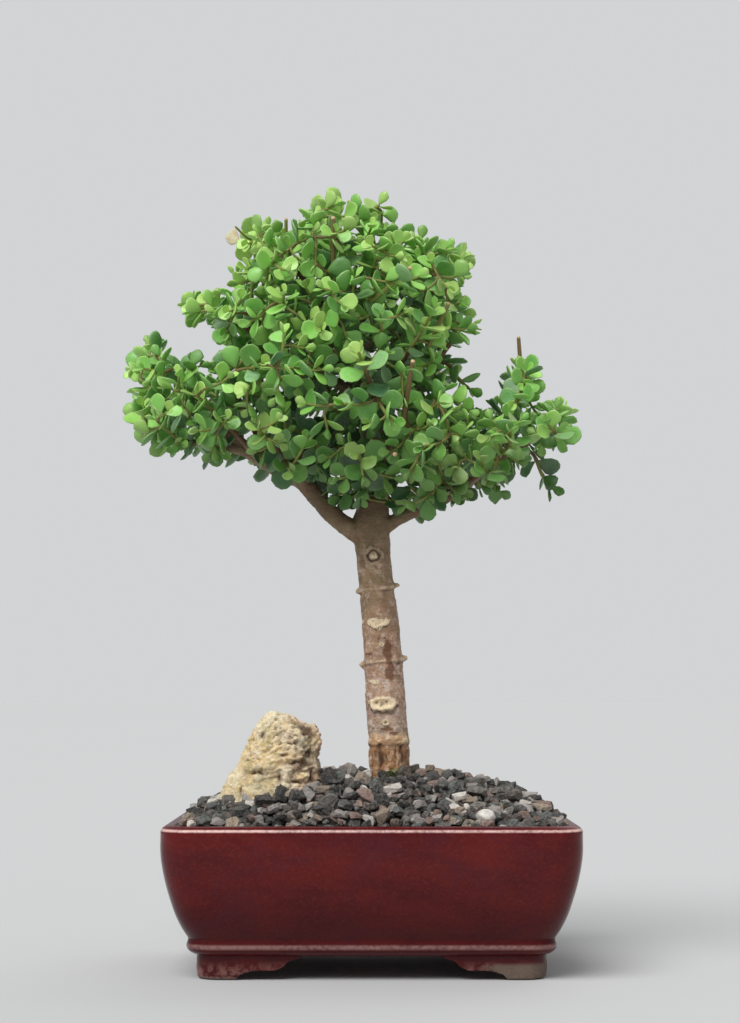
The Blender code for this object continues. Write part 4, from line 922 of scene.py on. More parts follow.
def add_fine_shoots(branches, space, tips, count, draw):
    """Short shoots, each from the nearest wood towards the emptiest of some random places."""
    made = []
    wood = []
    for branch in branches:
        for line in [branch.inner, *branch.lines()]:
            wood += [(branch, *place) for place in wood_points(line, FINE_STEP)]
    for _ in range(count):
        places = [crown_place(draw) for _ in range(FINE_TRIES)]
        gaps = np.linalg.norm(np.array(places)[:, None] - np.array(tips)[None], axis=2).min(axis=1)
        goal = places[int(gaps.argmax())]
        reaches = np.linalg.norm(np.array([place for _, place, _ in wood]) - np.array(goal), axis=1)
        for index in np.argsort(reaches)[:16:3]:
            branch, start, along = wood[index]
            reach = goal - start
            if reach.length < FINE_SHORTEST:
                continue
            length = min(reach.length, FINE_LONGEST)
            line = curved_shoot(start, along, reach.normalized(), length, SHOOT_STEPS)
            guard = tube(line[1:], [FINE_RADIUS] * SHOOT_STEPS, PROXY_SIDES)
            if space.is_hit(*guard, branch.name, False) or space.is_hit(*guard, branch.name, True):
                continue
            radii = [FINE_RADIUS * 1.15, FINE_RADIUS, FINE_RADIUS, FINE_RADIUS * 0.8]
            tips.append(line[-1])
            branch.shoots.append((line, radii))
            wood += [(branch, *place) for place in wood_points(line, FINE_STEP)]
            made.append((branch, line))
            space.add(branch.name, *tube(line, radii, PROXY_SIDES))
            break
    return made


def bare_wood_proxies():
    """Meshes of the trunk and its two low limbs as the solids have them."""
    left = smooth_line(LEFT_LIMB, LIMB_SPACING)
    right = smooth_line(RIGHT_LIMB, LIMB_SPACING)
    return [bar(TRUNK, TRUNK_SIDES), bar(left, LEFT_LIMB_SIDES), bar(right, RIGHT_LIMB_SIDES)]


def grow_crown(full, fine_shoots):
    """All leafy branches: first the shoots and leaves that the solids have, then the finer ones."""
    draw = random.Random(GROWTH_SEED)
    branches = [Branch(*row) for row in BRANCHES]
    space = Space()
    for shape in bare_wood_proxies():
        space.add("trunk", *shape)
    for branch in branches:
        space.add("trunk", *tube(branch.inner, branch.inner_radii(), LIMB_SIDES, end=branch.seat_direction))
        space.add(branch.name, *branch.outer_tube())
    tips = add_side_shoots(branches, space, draw)
    for first, last_main, last_side in ((0, 2, 2), (2, MAIN_PAIRS, SHOOT_PAIRS)):
        for number, branch in enumerate(branches):
            for k, line in enumerate(branch.lines()):
                roll = 0.9 * number + 1.3 * k
                last = last_side if k else last_main
                grow_pairs(branch, space, line, LEAF_PAIRS, first, last, LEAF_CLEAR, full, roll, draw)
    draw = random.Random(FINE_SEED)
    fine = add_fine_shoots(branches, space, tips, fine_shoots, draw)
    small = full * FINE_LEAF
    for first, last in ((0, 2), (2, len(FINE_PAIRS))):
        for number, (branch, line) in enumerate(fine):
            grow_pairs(branch, space, line, FINE_PAIRS, first, last, FINE_CLEAR, small, 0.7 * number, draw)
    last = len(LEAF_PAIRS)
    for number, branch in enumerate(branches):
        line = branch.outer
        grow_pairs(branch, space, line, LEAF_PAIRS, MAIN_PAIRS, last, FINE_CLEAR, full, 0.9 * number, draw)
    return branches


# Leaves and twigs


def leaf_shape(width, cup, fold, pinch):
    """Points, faces and masks of one leaf of unit length, from a flattened ball. pinch narrows its base."""
    ball = add_primitive(bpy.ops.mesh.primitive_uv_sphere_add, "leaf", segments=12, ring_count=6, radius=1)
    points = []
    rim = []
    for vert in ball.data.vertices:
        share = min(1.0, math.hypot(vert.co.x, vert.co.y))
        turn = math.atan2(vert.co.x, -vert.co.y)
        along = 0.5 - 0.5 * math.cos(turn)
        half = width / 2 * max(0.0, math.sin(math.pi * along**pinch)) ** (0.42 * pinch)
        x = math.copysign(half, turn) * share
        y = 0.58 + (along - 0.58) * share
        dome = max(0.0, 1 - share**3) ** 0.5
        thick = 0.030 if vert.co.z > 0 else -0.075
        dish = cup * (0.7 * (x / 0.43) ** 2 + max(0.0, y - 0.45)) + fold * abs(x)
        points.append((x, y, dish + thick * dome - 0.012))
        rim.append(share**6)
    faces = [tuple(face.vertices) for face in ball.data.polygons]
    under = [1.0 if vert.co.z < -0.01 else 0.0 for vert in ball.data.vertices]
    bpy.data.objects.remove(ball, do_unlink=True)
    return {"points": np.array(points), "faces": faces, "rim": np.array(rim), "under": np.array(under)}


# Leaf forms as (width, cup, fold, pinch), the youngest first
LEAF_FORMS = [
    (0.72, 0.20, 0.06, 1.65), (0.84, 0.08, 0.02, 1.6), (0.90, 0.05, 0.05, 1.45), (0.80, 0.12, -0.03, 1.7),
    (0.86, 0.16, 0.08, 1.5),
]  # fmt: skip
# A leaf's masks: its youth with painted light added, own tone, rim, underside, share of the way to its tip,
# dryness and painted shade
LEAF_MASKS = ("young", "tone", "rim", "under", "reach", "dry", "inner")
# How far round a branch's tip its leaves are young and lighter with painted light, and spared the painted
# shade
LOBE_REACH = 34 * MM
# How young a leaf looks by its pair, counted from the shoot's tip, before painted light from its place in the
# crown is added
PAIR_YOUTH = (0.28, 0.10, -0.14, -0.30, -0.34, -0.34)
YOUTH_SPREAD = 0.14
# Depths inside the crown over which its painted light fades and its painted shade sets in
LIGHT_DEPTH = 26 * MM
SHADE_DEPTH = 34 * MM
# How far, in degrees, a leaf rolls on its own axis to face the light
LEAF_TURN = 38


def add_leaf(heap, shape, place, length, young, tone, dry=0.0, inner=0.0):
    masks = {"rim": shape["rim"], "under": shape["under"], "reach": shape["points"][:, 1]}
    place = place @ Matrix.Scale(length, 4)
    heap.add(shape["points"], shape["faces"], place, young=young, tone=tone, dry=dry, inner=inner, **masks)


def turned_to_light(place):
    """The leaf's place, rolled on its own axis so that its upper face looks out of the crown and up."""
    root = place.translation
    along, face = place.col[1].to_3d(), place.col[2].to_3d()
    light = (root - at(*CROWN_HEART)).normalized() + UP * 0.6
    light -= along * light.dot(along)
    limit = math.radians(LEAF_TURN)
    roll = math.copysign(min(limit, face.angle(light, 0)), face.cross(light).dot(along))
    return Matrix.Translation(root) @ Matrix.Rotation(roll, 4, along) @ place.to_3x3().to_4x4()


def make_leaves(branch, tips, shapes, material, draw):
    """All leaves of one branch in one mesh, the youngest round the branches' tips, with painted light on
    leaves near the tips, at the crown's edge and high up, and painted shade on those deep inside.
    """
    heap = Heap(*LEAF_MASKS)
    for place, length, age in branch.leaves:
        shape = shapes[0] if age == 0 else draw.choice(shapes[1:])
        root = place.translation
        nearest = min((root - tip).length for tip in tips)
        glow = float(hill(nearest, LOBE_REACH))
        outside = outside_crown(root)
        # Painted light: leaves at the crown's edge, high up and near the tips count as younger, so their
        # colour is lighter
        painted_light_and_tip_youth = 0.24 * max(0.0, 1 + outside / LIGHT_DEPTH) + 0.36 * min(1, (root.z - 0.30) / 0.17) + 0.50 * glow
        young = PAIR_YOUTH[age] + painted_light_and_tip_youth + draw.gauss(0, YOUTH_SPREAD)
        # Painted shade: the inner mask grows with depth inside the crown and away from the tips
        inner = min(1.0, max(0.0, 0.30 - glow - outside / SHADE_DEPTH))
        add_leaf(heap, shape, turned_to_light(place), length * 0.96, young, draw.random(), inner=inner)
    if branch.name == DRY_LEAF_BRANCH:
        facing, hanging = Vector((0.1, -1, 0.25)), Vector((-0.25, 0.2, -1))
        place = leaf_place(at(*DRY_LEAF), facing, hanging, math.pi / 2, 0.2)
        add_leaf(heap, shapes[1], place, DRY_LEAF_LENGTH, 0.5, 0.5, dry=1.0)
    leaves = heap.build("leaves_" + branch.name)
    return finish_smooth(leaves, material, ["leafy_" + branch.name])


def twig_rows(line, radii, spacing):
    rows = [(p.x / MM, p.y / MM, p.z / MM, r / MM) for p, r in zip(line, radii)]
    return smooth_line(rows, spacing)


def add_twig(heap, line, radii, pairs, sides, freshness, start=None, cut=0.0):
    """One twig with a swollen ring at each leaf pair, from brown wood at its root to green at its tip."""
    rows = twig_rows(line, radii, 1.6)
    lengths = np.cumsum([0.0] + [math.dist(a[:3], b[:3]) for a, b in zip(rows, rows[1:])])
    backs = lengths[-1] - lengths
    swell = sum(np.exp(-(((backs - pair[0] - 1.2) / 1.1) ** 2)) for pair in pairs) if pairs else 0 * backs
    fine_radii = np.array([row[3] for row in rows]) * MM * (1 + 0.28 * np.minimum(1, swell))
    fine_radii[-1] *= 0.55 if pairs else 0.8
    young = np.clip(freshness * (1 - backs / 26), 0, 1) if pairs else np.full(len(rows), freshness)
    skin = tube([at(*row[:3]) for row in rows], list(fine_radii), sides, start=start)
    heap.add_in_place(*skin, young=np.repeat(young, sides), cut=cut * np.repeat(backs < 1.0, sides))


def nearest_wood(branches, point):
    """The nearest point of any branch's wood, and that branch."""
    best = None
    for branch in branches:
        for line in [branch.inner, *branch.lines()]:
            for a, b in zip(line, line[1:]):
                share = min(1.0, max(0.0, (point - a).dot(b - a) / (b - a).length_squared))
                foot = a.lerp(b, share)
                if best is None or (foot - point).length < best[0]:
                    best = ((foot - point).length, foot, branch)
    return best[1], best[2]


def make_twigs(branch, stubs, material):
    heap = Heap("young", "cut")
    root = list(branch.outer)
    root[0] = root[0] - branch.seat_direction * 0.8 * MM
    add_twig(heap, root, branch.outer_radii(), LEAF_PAIRS, 8, 1.0, branch.seat_direction)
    for line, radii in branch.shoots:
        add_twig(heap, line, radii, LEAF_PAIRS, 6, 1.0)
    for foot, base, tip, wide, slim, green, cut in stubs:
        radii = [wide * MM, wide * MM, slim * MM]
        if (base - foot).length < 2 * MM:
            foot = base + (base - tip).normalized() * 3 * MM
        add_twig(heap, [foot, base, tip], radii, (), 8, green, cut=cut)
    return finish_smooth(heap.build("twigs_" + branch.name), material)


def leaf_finish(colours):
    """Waxy leaf: yellow-green when young, grey-green with a bloom when old, paler on rim and underside, with
    painted shade low in the crown and deep inside it.
    """
    f = Finish("jade_leaf", Specular_IOR_Level=0.50, Subsurface_Weight=0.10, Subsurface_Scale=0.0012,
               Subsurface_Radius=(0.5, 1.0, 0.2))  # fmt: skip
    tone = f.attribute("tone")
    mottle = f.noise(380, 4, 0.6)
    # The young mask also carries painted light from each leaf's place in the crown
    age = (f.attribute("young") + (tone - 0.5) * 0.24 + (mottle - 0.5) * 0.30).clamp()
    f.colour = f.ramp(age, (0.0, colours.leaf_old), (0.26, colours.leaf_mid), (0.62, colours.leaf_fresh),
                      (1.0, colours.leaf_tip))  # fmt: skip
    grey = f.between(tone, 0.30, 0.85) * f.between(age, 0.55, 0.10)
    f.over(grey * 0.60, (0.22, 0.36, 0.21))
    bloom = f.between(f.noise(1000, 4, 0.65) + (tone - 0.5) * 0.4, 0.48, 0.66) * f.between(age, 0.70, 0.2)
    f.over(bloom * 0.58, (0.44, 0.56, 0.42))
    f.over((f.attribute("rim") * 0.40).clamp(), (0.44, 0.62, 0.24))
    f.over(f.attribute("under") * 0.28, (0.22, 0.42, 0.12))
    # Painted shade: leaves darken towards the bottom of the crown and where the inner mask puts them deep
    # inside it
    low = f.between(f.axis("Z"), 0.365, 0.295)
    f.over(low * 0.62 + f.attribute("inner") * 0.32, (0.020, 0.055, 0.020))
    f.over(f.between(tone, 0.42, 0.0) * 0.34, (0.030, 0.085, 0.018))
    base = f.between(f.attribute("reach"), 0.20, 0.02)
    f.over(base * 0.6, (0.46, 0.44, 0.10))
    dry = f.mix(f.between(mottle, 0.4, 0.6), (0.78, 0.72, 0.48), (0.70, 0.52, 0.36))
    f.over(f.attribute("dry"), dry)
    roughness = f.between(f.noise(900, 3), 0.2, 0.8, 0.30, 0.48) + bloom * 0.15
    return f.done(Roughness=roughness, Normal=f.bump(f.noise(600, 3), 0.00020, 0.7))


def moss_finish():
    """Dark olive moss with a few lighter tips."""
    f = Finish("moss", Roughness=0.85)
    colour = f.mix(f.noise(900, 3), (0.034, 0.038, 0.014), (0.100, 0.108, 0.034))
    colour = f.mix(f.between(f.attribute("young"), 0.1, 0.5), colour, (0.17, 0.21, 0.075))
    return f.done(colour, Normal=f.bump(f.noise(1200, 3), 0.0003))


def twig_finish(colours):
    """Young wood: olive-green near the tip, reddish brown with pale lenticels further in."""
    f = Finish("young_wood")
    speckle = f.between(f.noise(1300, 3), 0.52, 0.72)
    wood = f.mix(f.noise(260, 4), colours.twig, (0.17, 0.085, 0.045))
    wood = f.mix(speckle * 0.45, wood, (0.40, 0.27, 0.16))
    colour = f.mix((f.attribute("young") * 1.3).clamp(), wood, (0.21, 0.25, 0.05))
    colour = f.mix(f.attribute("cut"), colour, (0.78, 0.52, 0.30))
    roughness = f.between(speckle, 0, 1, 0.5, 0.75)
    return f.done(colour, Roughness=roughness, Normal=f.bump(f.noise(900, 4), 0.0003, 0.8))


# Trunk


def trunk_axis(z):
    """The trunk's middle and radius at each height, in metres."""
    table = np.array(TRUNK) * MM
    return [np.interp(z, table[:, 2], table[:, i]) for i in (0, 1, 3)]


def bark_rows():
    """The trunk's rows, a little thinner than the solid, with flatter ridges."""
    rows = []
    for x, y, z, radius in smooth_line(TRUNK, 2.0):
        bulge = sum(math.exp(-(((z - height) / 2.4) ** 2)) for height, _, _ in RIDGES)
        rows.append((x, y, z, radius - BARK_INSET - RIDGE_INSET * bulge))
    return rows


def bud_shape(x, y, z, bearing):
    turn = math.radians(bearing)
    out = Vector((math.cos(turn), math.sin(turn), 0.45)).normalized()
    line = [at(x, y, z) + out * reach * MM for reach in (-4.0, -0.6, 0.4, 1.2, 1.8)]
    return tube(line, [2.0 * MM, 1.9 * MM, 1.8 * MM, 1.4 * MM, 0.7 * MM], 12)


def rough_trunk(voxel):
    """Trunk, low limbs and buds melted into one skin."""
    shapes = [bar(bark_rows(), 40)]
    shapes += [bar(smooth_line(limb, 3.0), 20) for limb in (LEFT_LIMB, RIGHT_LIMB)]
    shapes += [bud_shape(*row) for row in BUDS]
    parts = [mesh_object("trunk_part", *shape) for shape in shapes]
    trunk = join(parts, "trunk_bark")
    face_outwards(trunk)
    use_modifier(trunk, "REMESH", mode="VOXEL", voxel_size=voxel)
    use_modifier(trunk, "SMOOTH", factor=0.5, iterations=3)
    return trunk


def hill(away, width):
    return np.exp(-((away / width) ** 2))


def noise_at(points, scale, stretch=(1, 1, 1), octaves=1):
    """Smooth noise from -1 to 1 at each point, as an array."""
    places = points * (np.array(stretch) * scale)
    return np.array([noise.fractal(Vector(p), 0.8, 2.0, octaves) for p in places])


class Relief:
    """How far each point of a skin stands out, in millimetres, with the masks that its colours need."""

    def __init__(self, points, *masks):
        self.points = points
        self.x, self.y, self.z = points.T / MM
        self.lift = np.zeros(len(points))
        self.masks = {name: np.zeros(len(points)) for name in masks}

    def raise_to(self, name, values):
        self.masks[name] = np.maximum(self.masks[name], values)

    def apply(self, obj):
        move_points(obj, self.points + normals_of(obj) * self.lift[:, None] * MM)
        for name, values in self.masks.items():
            add_attribute(obj, name, np.clip(values, 0, 1))


def carve_ridges(relief, centre_x, centre_y, on_trunk, ragged):
    for height, tilt, strength in RIDGES:
        turn = np.arctan2(relief.y - centre_y, relief.x - centre_x)
        away = relief.z - height - tilt * (relief.x - centre_x) / 22 - 0.4 * np.sin(2.2 * turn) - 0.9 * ragged
        broken = strength * on_trunk * np.clip(0.55 + 1.6 * ragged, 0.05, 1.3)
        ridge = hill(away, 0.6) * broken
        relief.lift += 0.55 * ridge - 0.35 * hill(away + 2.0, 1.0) * on_trunk
        relief.raise_to("pale", 0.85 * ridge)
        # Painted shade in the groove under each ridge
        gap = hill(away + 1.5, 0.7) * np.clip(0.7 - 1.5 * ragged, 0, 1)
        relief.raise_to("dark", 0.6 * strength * gap * on_trunk)
    collar = hill(relief.z - COLLAR, 2.6) * on_trunk * np.clip(0.2 + 1.8 * ragged, 0, 1)
    relief.lift += 0.9 * collar
    relief.raise_to("pale", 0.7 * collar)
    for x, y, z, bearing in BUDS:
        turn = math.radians(bearing)
        tip = np.array((x + 1.8 * math.cos(turn), y + 1.8 * math.sin(turn), z + 0.8))
        relief.raise_to("pale", 1.2 * hill(np.linalg.norm(relief.points / MM - tip, axis=1), 2.1))


def carve_swirl(relief, front, ragged):
    """The high round scar: a raised lip, a ring of painted shade in the groove inside it and a pale swirled
    middle with dark lines.
    """
    x, height, half_x, half_z, lip, eye = SWIRL_SCAR
    away = np.hypot((relief.x - x) / half_x, (relief.z - height) / half_z) * (1 + 0.28 * ragged)
    ring = lip * hill(away - 0.92, 0.20) - eye * hill(away - 0.62, 0.14)
    relief.lift += (ring + 0.6 * hill(away, 0.42)) * front
    relief.raise_to("pale", 1.6 * (away < 0.48) * front)
    relief.raise_to("pale", 0.35 * hill(away - 0.92, 0.12) * front)
    # Painted shade in the sunken ring
    relief.raise_to("dark", 0.95 * hill(away - 0.63, 0.12) * front)
    twist = np.arctan2(relief.z - height, relief.x - x) / math.tau
    relief.raise_to("dark", 0.4 * hill((away * 3.2 - twist) % 1.0 - 0.5, 0.14) * (away < 0.46) * front)


def carve_scars(relief, front, ragged):
    for x, height, half_x, half_z, lip, eye, taper in SCARS:
        spread = half_x * np.clip(1 + taper * (relief.z - height) / half_z, 0.2, 1.6)
        away = np.hypot((relief.x - x) / spread, (relief.z - height) / half_z) * (1 + 0.28 * ragged)
        ring = lip * (1 + 0.5 * (relief.z < height)) * hill(away - 0.80, 0.24)
        relief.lift += (ring + 0.3 * lip * (away < 0.8) - eye * hill(away, 0.30)) * front
        relief.raise_to("pale", np.clip((1.06 - away) * 6, 0, 1) * front * min(1, 0.55 + lip))
        # Painted shade in each scar's sunken eye and under its lower lip
        relief.raise_to("dark", 0.9 * hill(away, 0.20 + 0.06 * eye) * front * min(1, eye))
        relief.raise_to("dark", 0.7 * hill(away - 1.12, 0.12) * front * (relief.z < height) * min(1, lip))
    for x, height in PIN_HOLES:
        away = np.hypot(relief.x - x, relief.z - height)
        relief.lift -= 0.7 * hill(away, 0.7) * front
        # Painted shade in each pin hole
        relief.raise_to("dark", hill(away, 0.75) * front)


def carve_foot(relief, front, ragged):
    """Cracks and flaking bark under the lowest ridge, with painted shade in the cracks and where the
    splinters sink.
    """
    for x, low, high, half in CRACKS:
        middle = (low + high) / 2
        width = half * np.sqrt(np.maximum(0, 1 - ((relief.z - middle) / (high - middle)) ** 2)) + 0.01
        sway = relief.x - x - 0.6 * np.sin(relief.z * 0.5) + 1.1 * ragged
        groove = hill(sway, width) * front * (relief.z > low) * (relief.z < high)
        relief.lift -= 0.6 * half * groove
        relief.raise_to("stain", 1.4 * groove)
        # Painted shade deep in each crack
        relief.raise_to("dark", 0.50 * groove**3)
    low = np.clip((140 - relief.z) / 5, 0, 1)
    plates = noise_at(relief.points, 240, (1, 1, 0.45), 4)
    splinters = noise_at(relief.points, 420, (1, 1, 0.16), 3)
    relief.lift += low * (0.7 * plates + 0.45 * splinters)
    relief.raise_to("stain", 0.9 * low * np.clip(-2.2 * plates - 0.3, 0, 1))
    # Painted shade where the splinters sink in
    relief.raise_to("dark", 0.5 * low * np.clip(-2.6 * splinters - 0.9, 0, 1))
    relief.raise_to("pale", 0.45 * low * np.clip(2.4 * splinters - 0.5, 0, 1))


def make_trunk(settings, material):
    trunk = rough_trunk(settings.voxel)
    points = points_of(trunk)
    relief = Relief(points, "pale", "dark", "stain")
    centre_x, centre_y, radius = [values / MM for values in trunk_axis(points[:, 2])]
    on_trunk = np.hypot(relief.x - centre_x, relief.y - centre_y) < radius + 4.5
    front = on_trunk & (relief.y < centre_y)
    ragged = noise_at(points, 260, octaves=3)
    carve_ridges(relief, centre_x, centre_y, on_trunk, ragged)
    carve_swirl(relief, front, ragged)
    carve_scars(relief, front, ragged)
    carve_foot(relief, front, ragged)
    for x, height, half_x, half_z in STAINS:
        away = np.hypot((relief.x - x) / half_x, (relief.z - height) / half_z) + 0.5 * ragged
        relief.raise_to("stain", np.clip(2.6 - 2.2 * away, 0, 1) * (relief.y < centre_y))
    relief.lift += 0.5 * noise_at(points, 120, octaves=4) + 0.22 * noise_at(points, 70, (1, 1, 9))
    relief.apply(trunk)
    trunk.data.shade_smooth()
    return finish_piece(trunk, material, ["trunk"])


def make_inner_limbs(branches, material):
    """The bare wood between the trunk and each leafy branch."""
    heap = Heap("pale", "dark", "stain")
    for branch in branches:
        rows = twig_rows(branch.inner, branch.inner_radii(), 2.0)
        radii = []
        for i, row in enumerate(rows):
            knot = 0.5 + 0.5 * math.cos(i * 0.9 + row[0])
            radii.append(row[3] * MM * (1 + 0.12 * knot**4 + 0.25 * math.exp(-i / 2.0)))
        skin = tube([at(*row[:3]) for row in rows], radii, 10, end=branch.seat_direction)
        heap.add_in_place(*skin, pale=0, dark=0, stain=0)
    return finish_smooth(heap.build("inner_limbs"), material)


def bark_finish(colours):
    """Bark from olive-brown under the crown, darkened there with painted shade, to pinkish grey, then
    orange-brown and cracked at the foot, with painted shade in its grooves, scars, holes and cracks.
    """
    f = Finish("jade_bark")
    height = f.axis("Z")
    blotch = f.noise(110, 5, 0.6)
    rings = f.noise(1.0, 4, 0.6, f.stretched((80, 80, 950)))
    sway = height + (blotch - 0.5) * 0.006
    rise = f.between(sway, 0.110, 0.330, straight=True)
    # The dark stops at 0.74 and 0.82, about 270 to 290 mm up where the low limbs run under the crown, are
    # painted shade over the olive-brown of the young bark
    base = f.ramp(rise, (0.0, (0.44, 0.19, 0.065)), (0.125, (0.56, 0.28, 0.10)), (0.150, (0.76, 0.46, 0.22)),
                  (0.175, (0.64, 0.46, 0.34)), (0.26, (0.60, 0.38, 0.25)), (0.42, colours.bark),
                  (0.62, (0.41, 0.275, 0.155)), (0.74, (0.28, 0.20, 0.105)), (0.82, (0.17, 0.115, 0.060)),
                  (0.95, (0.30, 0.225, 0.135)))  # fmt: skip
    f.colour = f.mix(f.between(blotch, 0.36, 0.60) * 0.50, base, (0.19, 0.105, 0.062))
    light = f.between(f.noise(190, 5, 0.7), 0.50, 0.64) * f.between(height, 0.285, 0.25)
    f.over(light * 0.65, (0.74, 0.55, 0.43))
    chalky = f.between(f.noise(240, 5, 0.7), 0.48, 0.60)
    chalky = chalky * f.between(height, 0.144, 0.152) * f.between(height, 0.215, 0.172)
    f.over(chalky * 0.60, (0.80, 0.68, 0.60))
    pinkish = f.between(f.noise(130, 4, 0.6), 0.54, 0.66) * f.between(height, 0.29, 0.26)
    f.over(pinkish * 0.5, (0.52, 0.29, 0.21))
    f.over(f.between(rings, 0.50, 0.70) * 0.35, (0.15, 0.085, 0.05))
    green = f.between(f.noise(75, 3), 0.55, 0.72)
    f.over(green * 0.30, (0.21, 0.22, 0.10))
    f.over(f.attribute("stain") * 0.88, (0.165, 0.062, 0.024))
    pale = f.attribute("pale") * f.between(f.noise(520, 4), 0.25, 0.55, 0.55, 1.0)
    f.over(pale.clamp(), (0.93, 0.76, 0.51))
    pores = f.between(f.noise(900, 4, 0.7), 0.54, 0.64)
    f.over(pores * 0.55, (0.10, 0.055, 0.032))
    # Painted shade in the grooves, scar eyes, holes and cracks, with the swirl's dark lines
    f.over(f.attribute("dark").clamp(), (0.035, 0.014, 0.008))
    roughness = f.between(blotch, 0.2, 0.8, 0.55, 0.80)
    return f.done(Roughness=roughness, Normal=f.bump(rings * 0.6 + f.noise(700, 5, 0.7), 0.0009, 0.9))


# Pot, soil and screens


def outline_steps(rows):
    """Carries the selected face up the rows of (inset, height), in metres, drawing its outline in or out."""
    for (inset, height), (next_inset, next_height) in zip(rows, rows[1:]):
        lift = {"value": (0, 0, next_height - height)}
        bpy.ops.mesh.extrude_region_move(TRANSFORM_OT_translate=lift)
        share_x = (POT_HALF_WIDTH - next_inset) / (POT_HALF_WIDTH - inset)
        share_y = (POT_HALF_DEPTH - next_inset) / (POT_HALF_DEPTH - inset)
        centre = (0, 0, next_height)
        bpy.ops.transform.resize(value=(share_x, share_y, 1), center_override=centre)


def rounded_block(name, rows, corner, segments):
    """A closed block over a rounded rectangle, whose side follows the rows."""
    inset, height = rows[0]
    block = add_primitive(bpy.ops.mesh.primitive_plane_add, name, size=2, location=(0, 0, height))
    bpy.ops.object.mode_set(mode="EDIT")
    half = (POT_HALF_WIDTH - inset, POT_HALF_DEPTH - inset, 1)
    bpy.ops.transform.resize(value=half, center_override=(0, 0, height))
    bpy.ops.mesh.bevel(offset=corner, offset_type="OFFSET", segments=segments, affect="VERTICES")
    bpy.ops.mesh.select_all(action="SELECT")
    outline_steps(rows)
    bpy.ops.object.mode_set(mode="OBJECT")
    settle(block)
    face_outwards(block)
    return block


def arch_cutter(name, half_outline, along_x):
    """A bar with the arch's outline, right through under the pot."""
    right = [(x * MM, z * MM) for x, z in half_outline]
    outline = right + [(-x, z) for x, z in reversed(right)]
    rings = []
    for end in (ARCH_REACH, -ARCH_REACH):
        rings.append([Vector((-end, a, z)) if along_x else Vector((a, end, z)) for a, z in outline])
    cutter = mesh_object(name, *loft(rings))
    face_outwards(cutter)
    return cutter


def make_pot(settings, material):
    profile = [(inset, 0.0, height) for inset, height in POT_OUTSIDE + POT_INSIDE]
    rows = [(row[0] * MM, row[2] * MM) for row in smooth_line(profile, settings.step / MM)]
    pot = rounded_block("pot_glazed", rows, POT_CORNER, settings.corner_steps)
    feet = rounded_block("pot_feet", [(i * MM, z * MM) for i, z in FOOT_PROFILE], POT_CORNER * 0.9, 8)
    core = add_primitive(bpy.ops.mesh.primitive_cube_add, "foot_core", size=1, location=(0, 0, 0.0))
    inset = FOOT_PROFILE[0][0] * MM + FOOT_WALL
    bpy.ops.transform.resize(value=(2 * (POT_HALF_WIDTH - inset), 2 * (POT_HALF_DEPTH - inset), 60 * MM))
    activate(core)
    bpy.ops.object.transform_apply(location=True, rotation=True, scale=True)
    boolean(feet, core, "DIFFERENCE")
    boolean(feet, arch_cutter("front_arch", FRONT_ARCH, False), "DIFFERENCE")
    boolean(feet, arch_cutter("side_arch", SIDE_ARCH, True), "DIFFERENCE")
    use_modifier(feet, "BEVEL", width=FOOT_EDGE, segments=2, limit_method="ANGLE", angle_limit=EDGE_ANGLE)
    boolean(pot, feet, "UNION")
    for side in (-1, 1):
        drain = add_primitive(bpy.ops.mesh.primitive_cylinder_add, "drain", vertices=32, radius=DRAIN_RADIUS,
                              depth=30 * MM, location=(side * DRAIN_PLACE, 0, 18 * MM))  # fmt: skip
        settle(drain)
        boolean(pot, drain, "DIFFERENCE")
    activate(pot)
    bpy.ops.object.shade_smooth_by_angle(angle=EDGE_ANGLE)
    return finish_piece(pot, material, ["pot"])


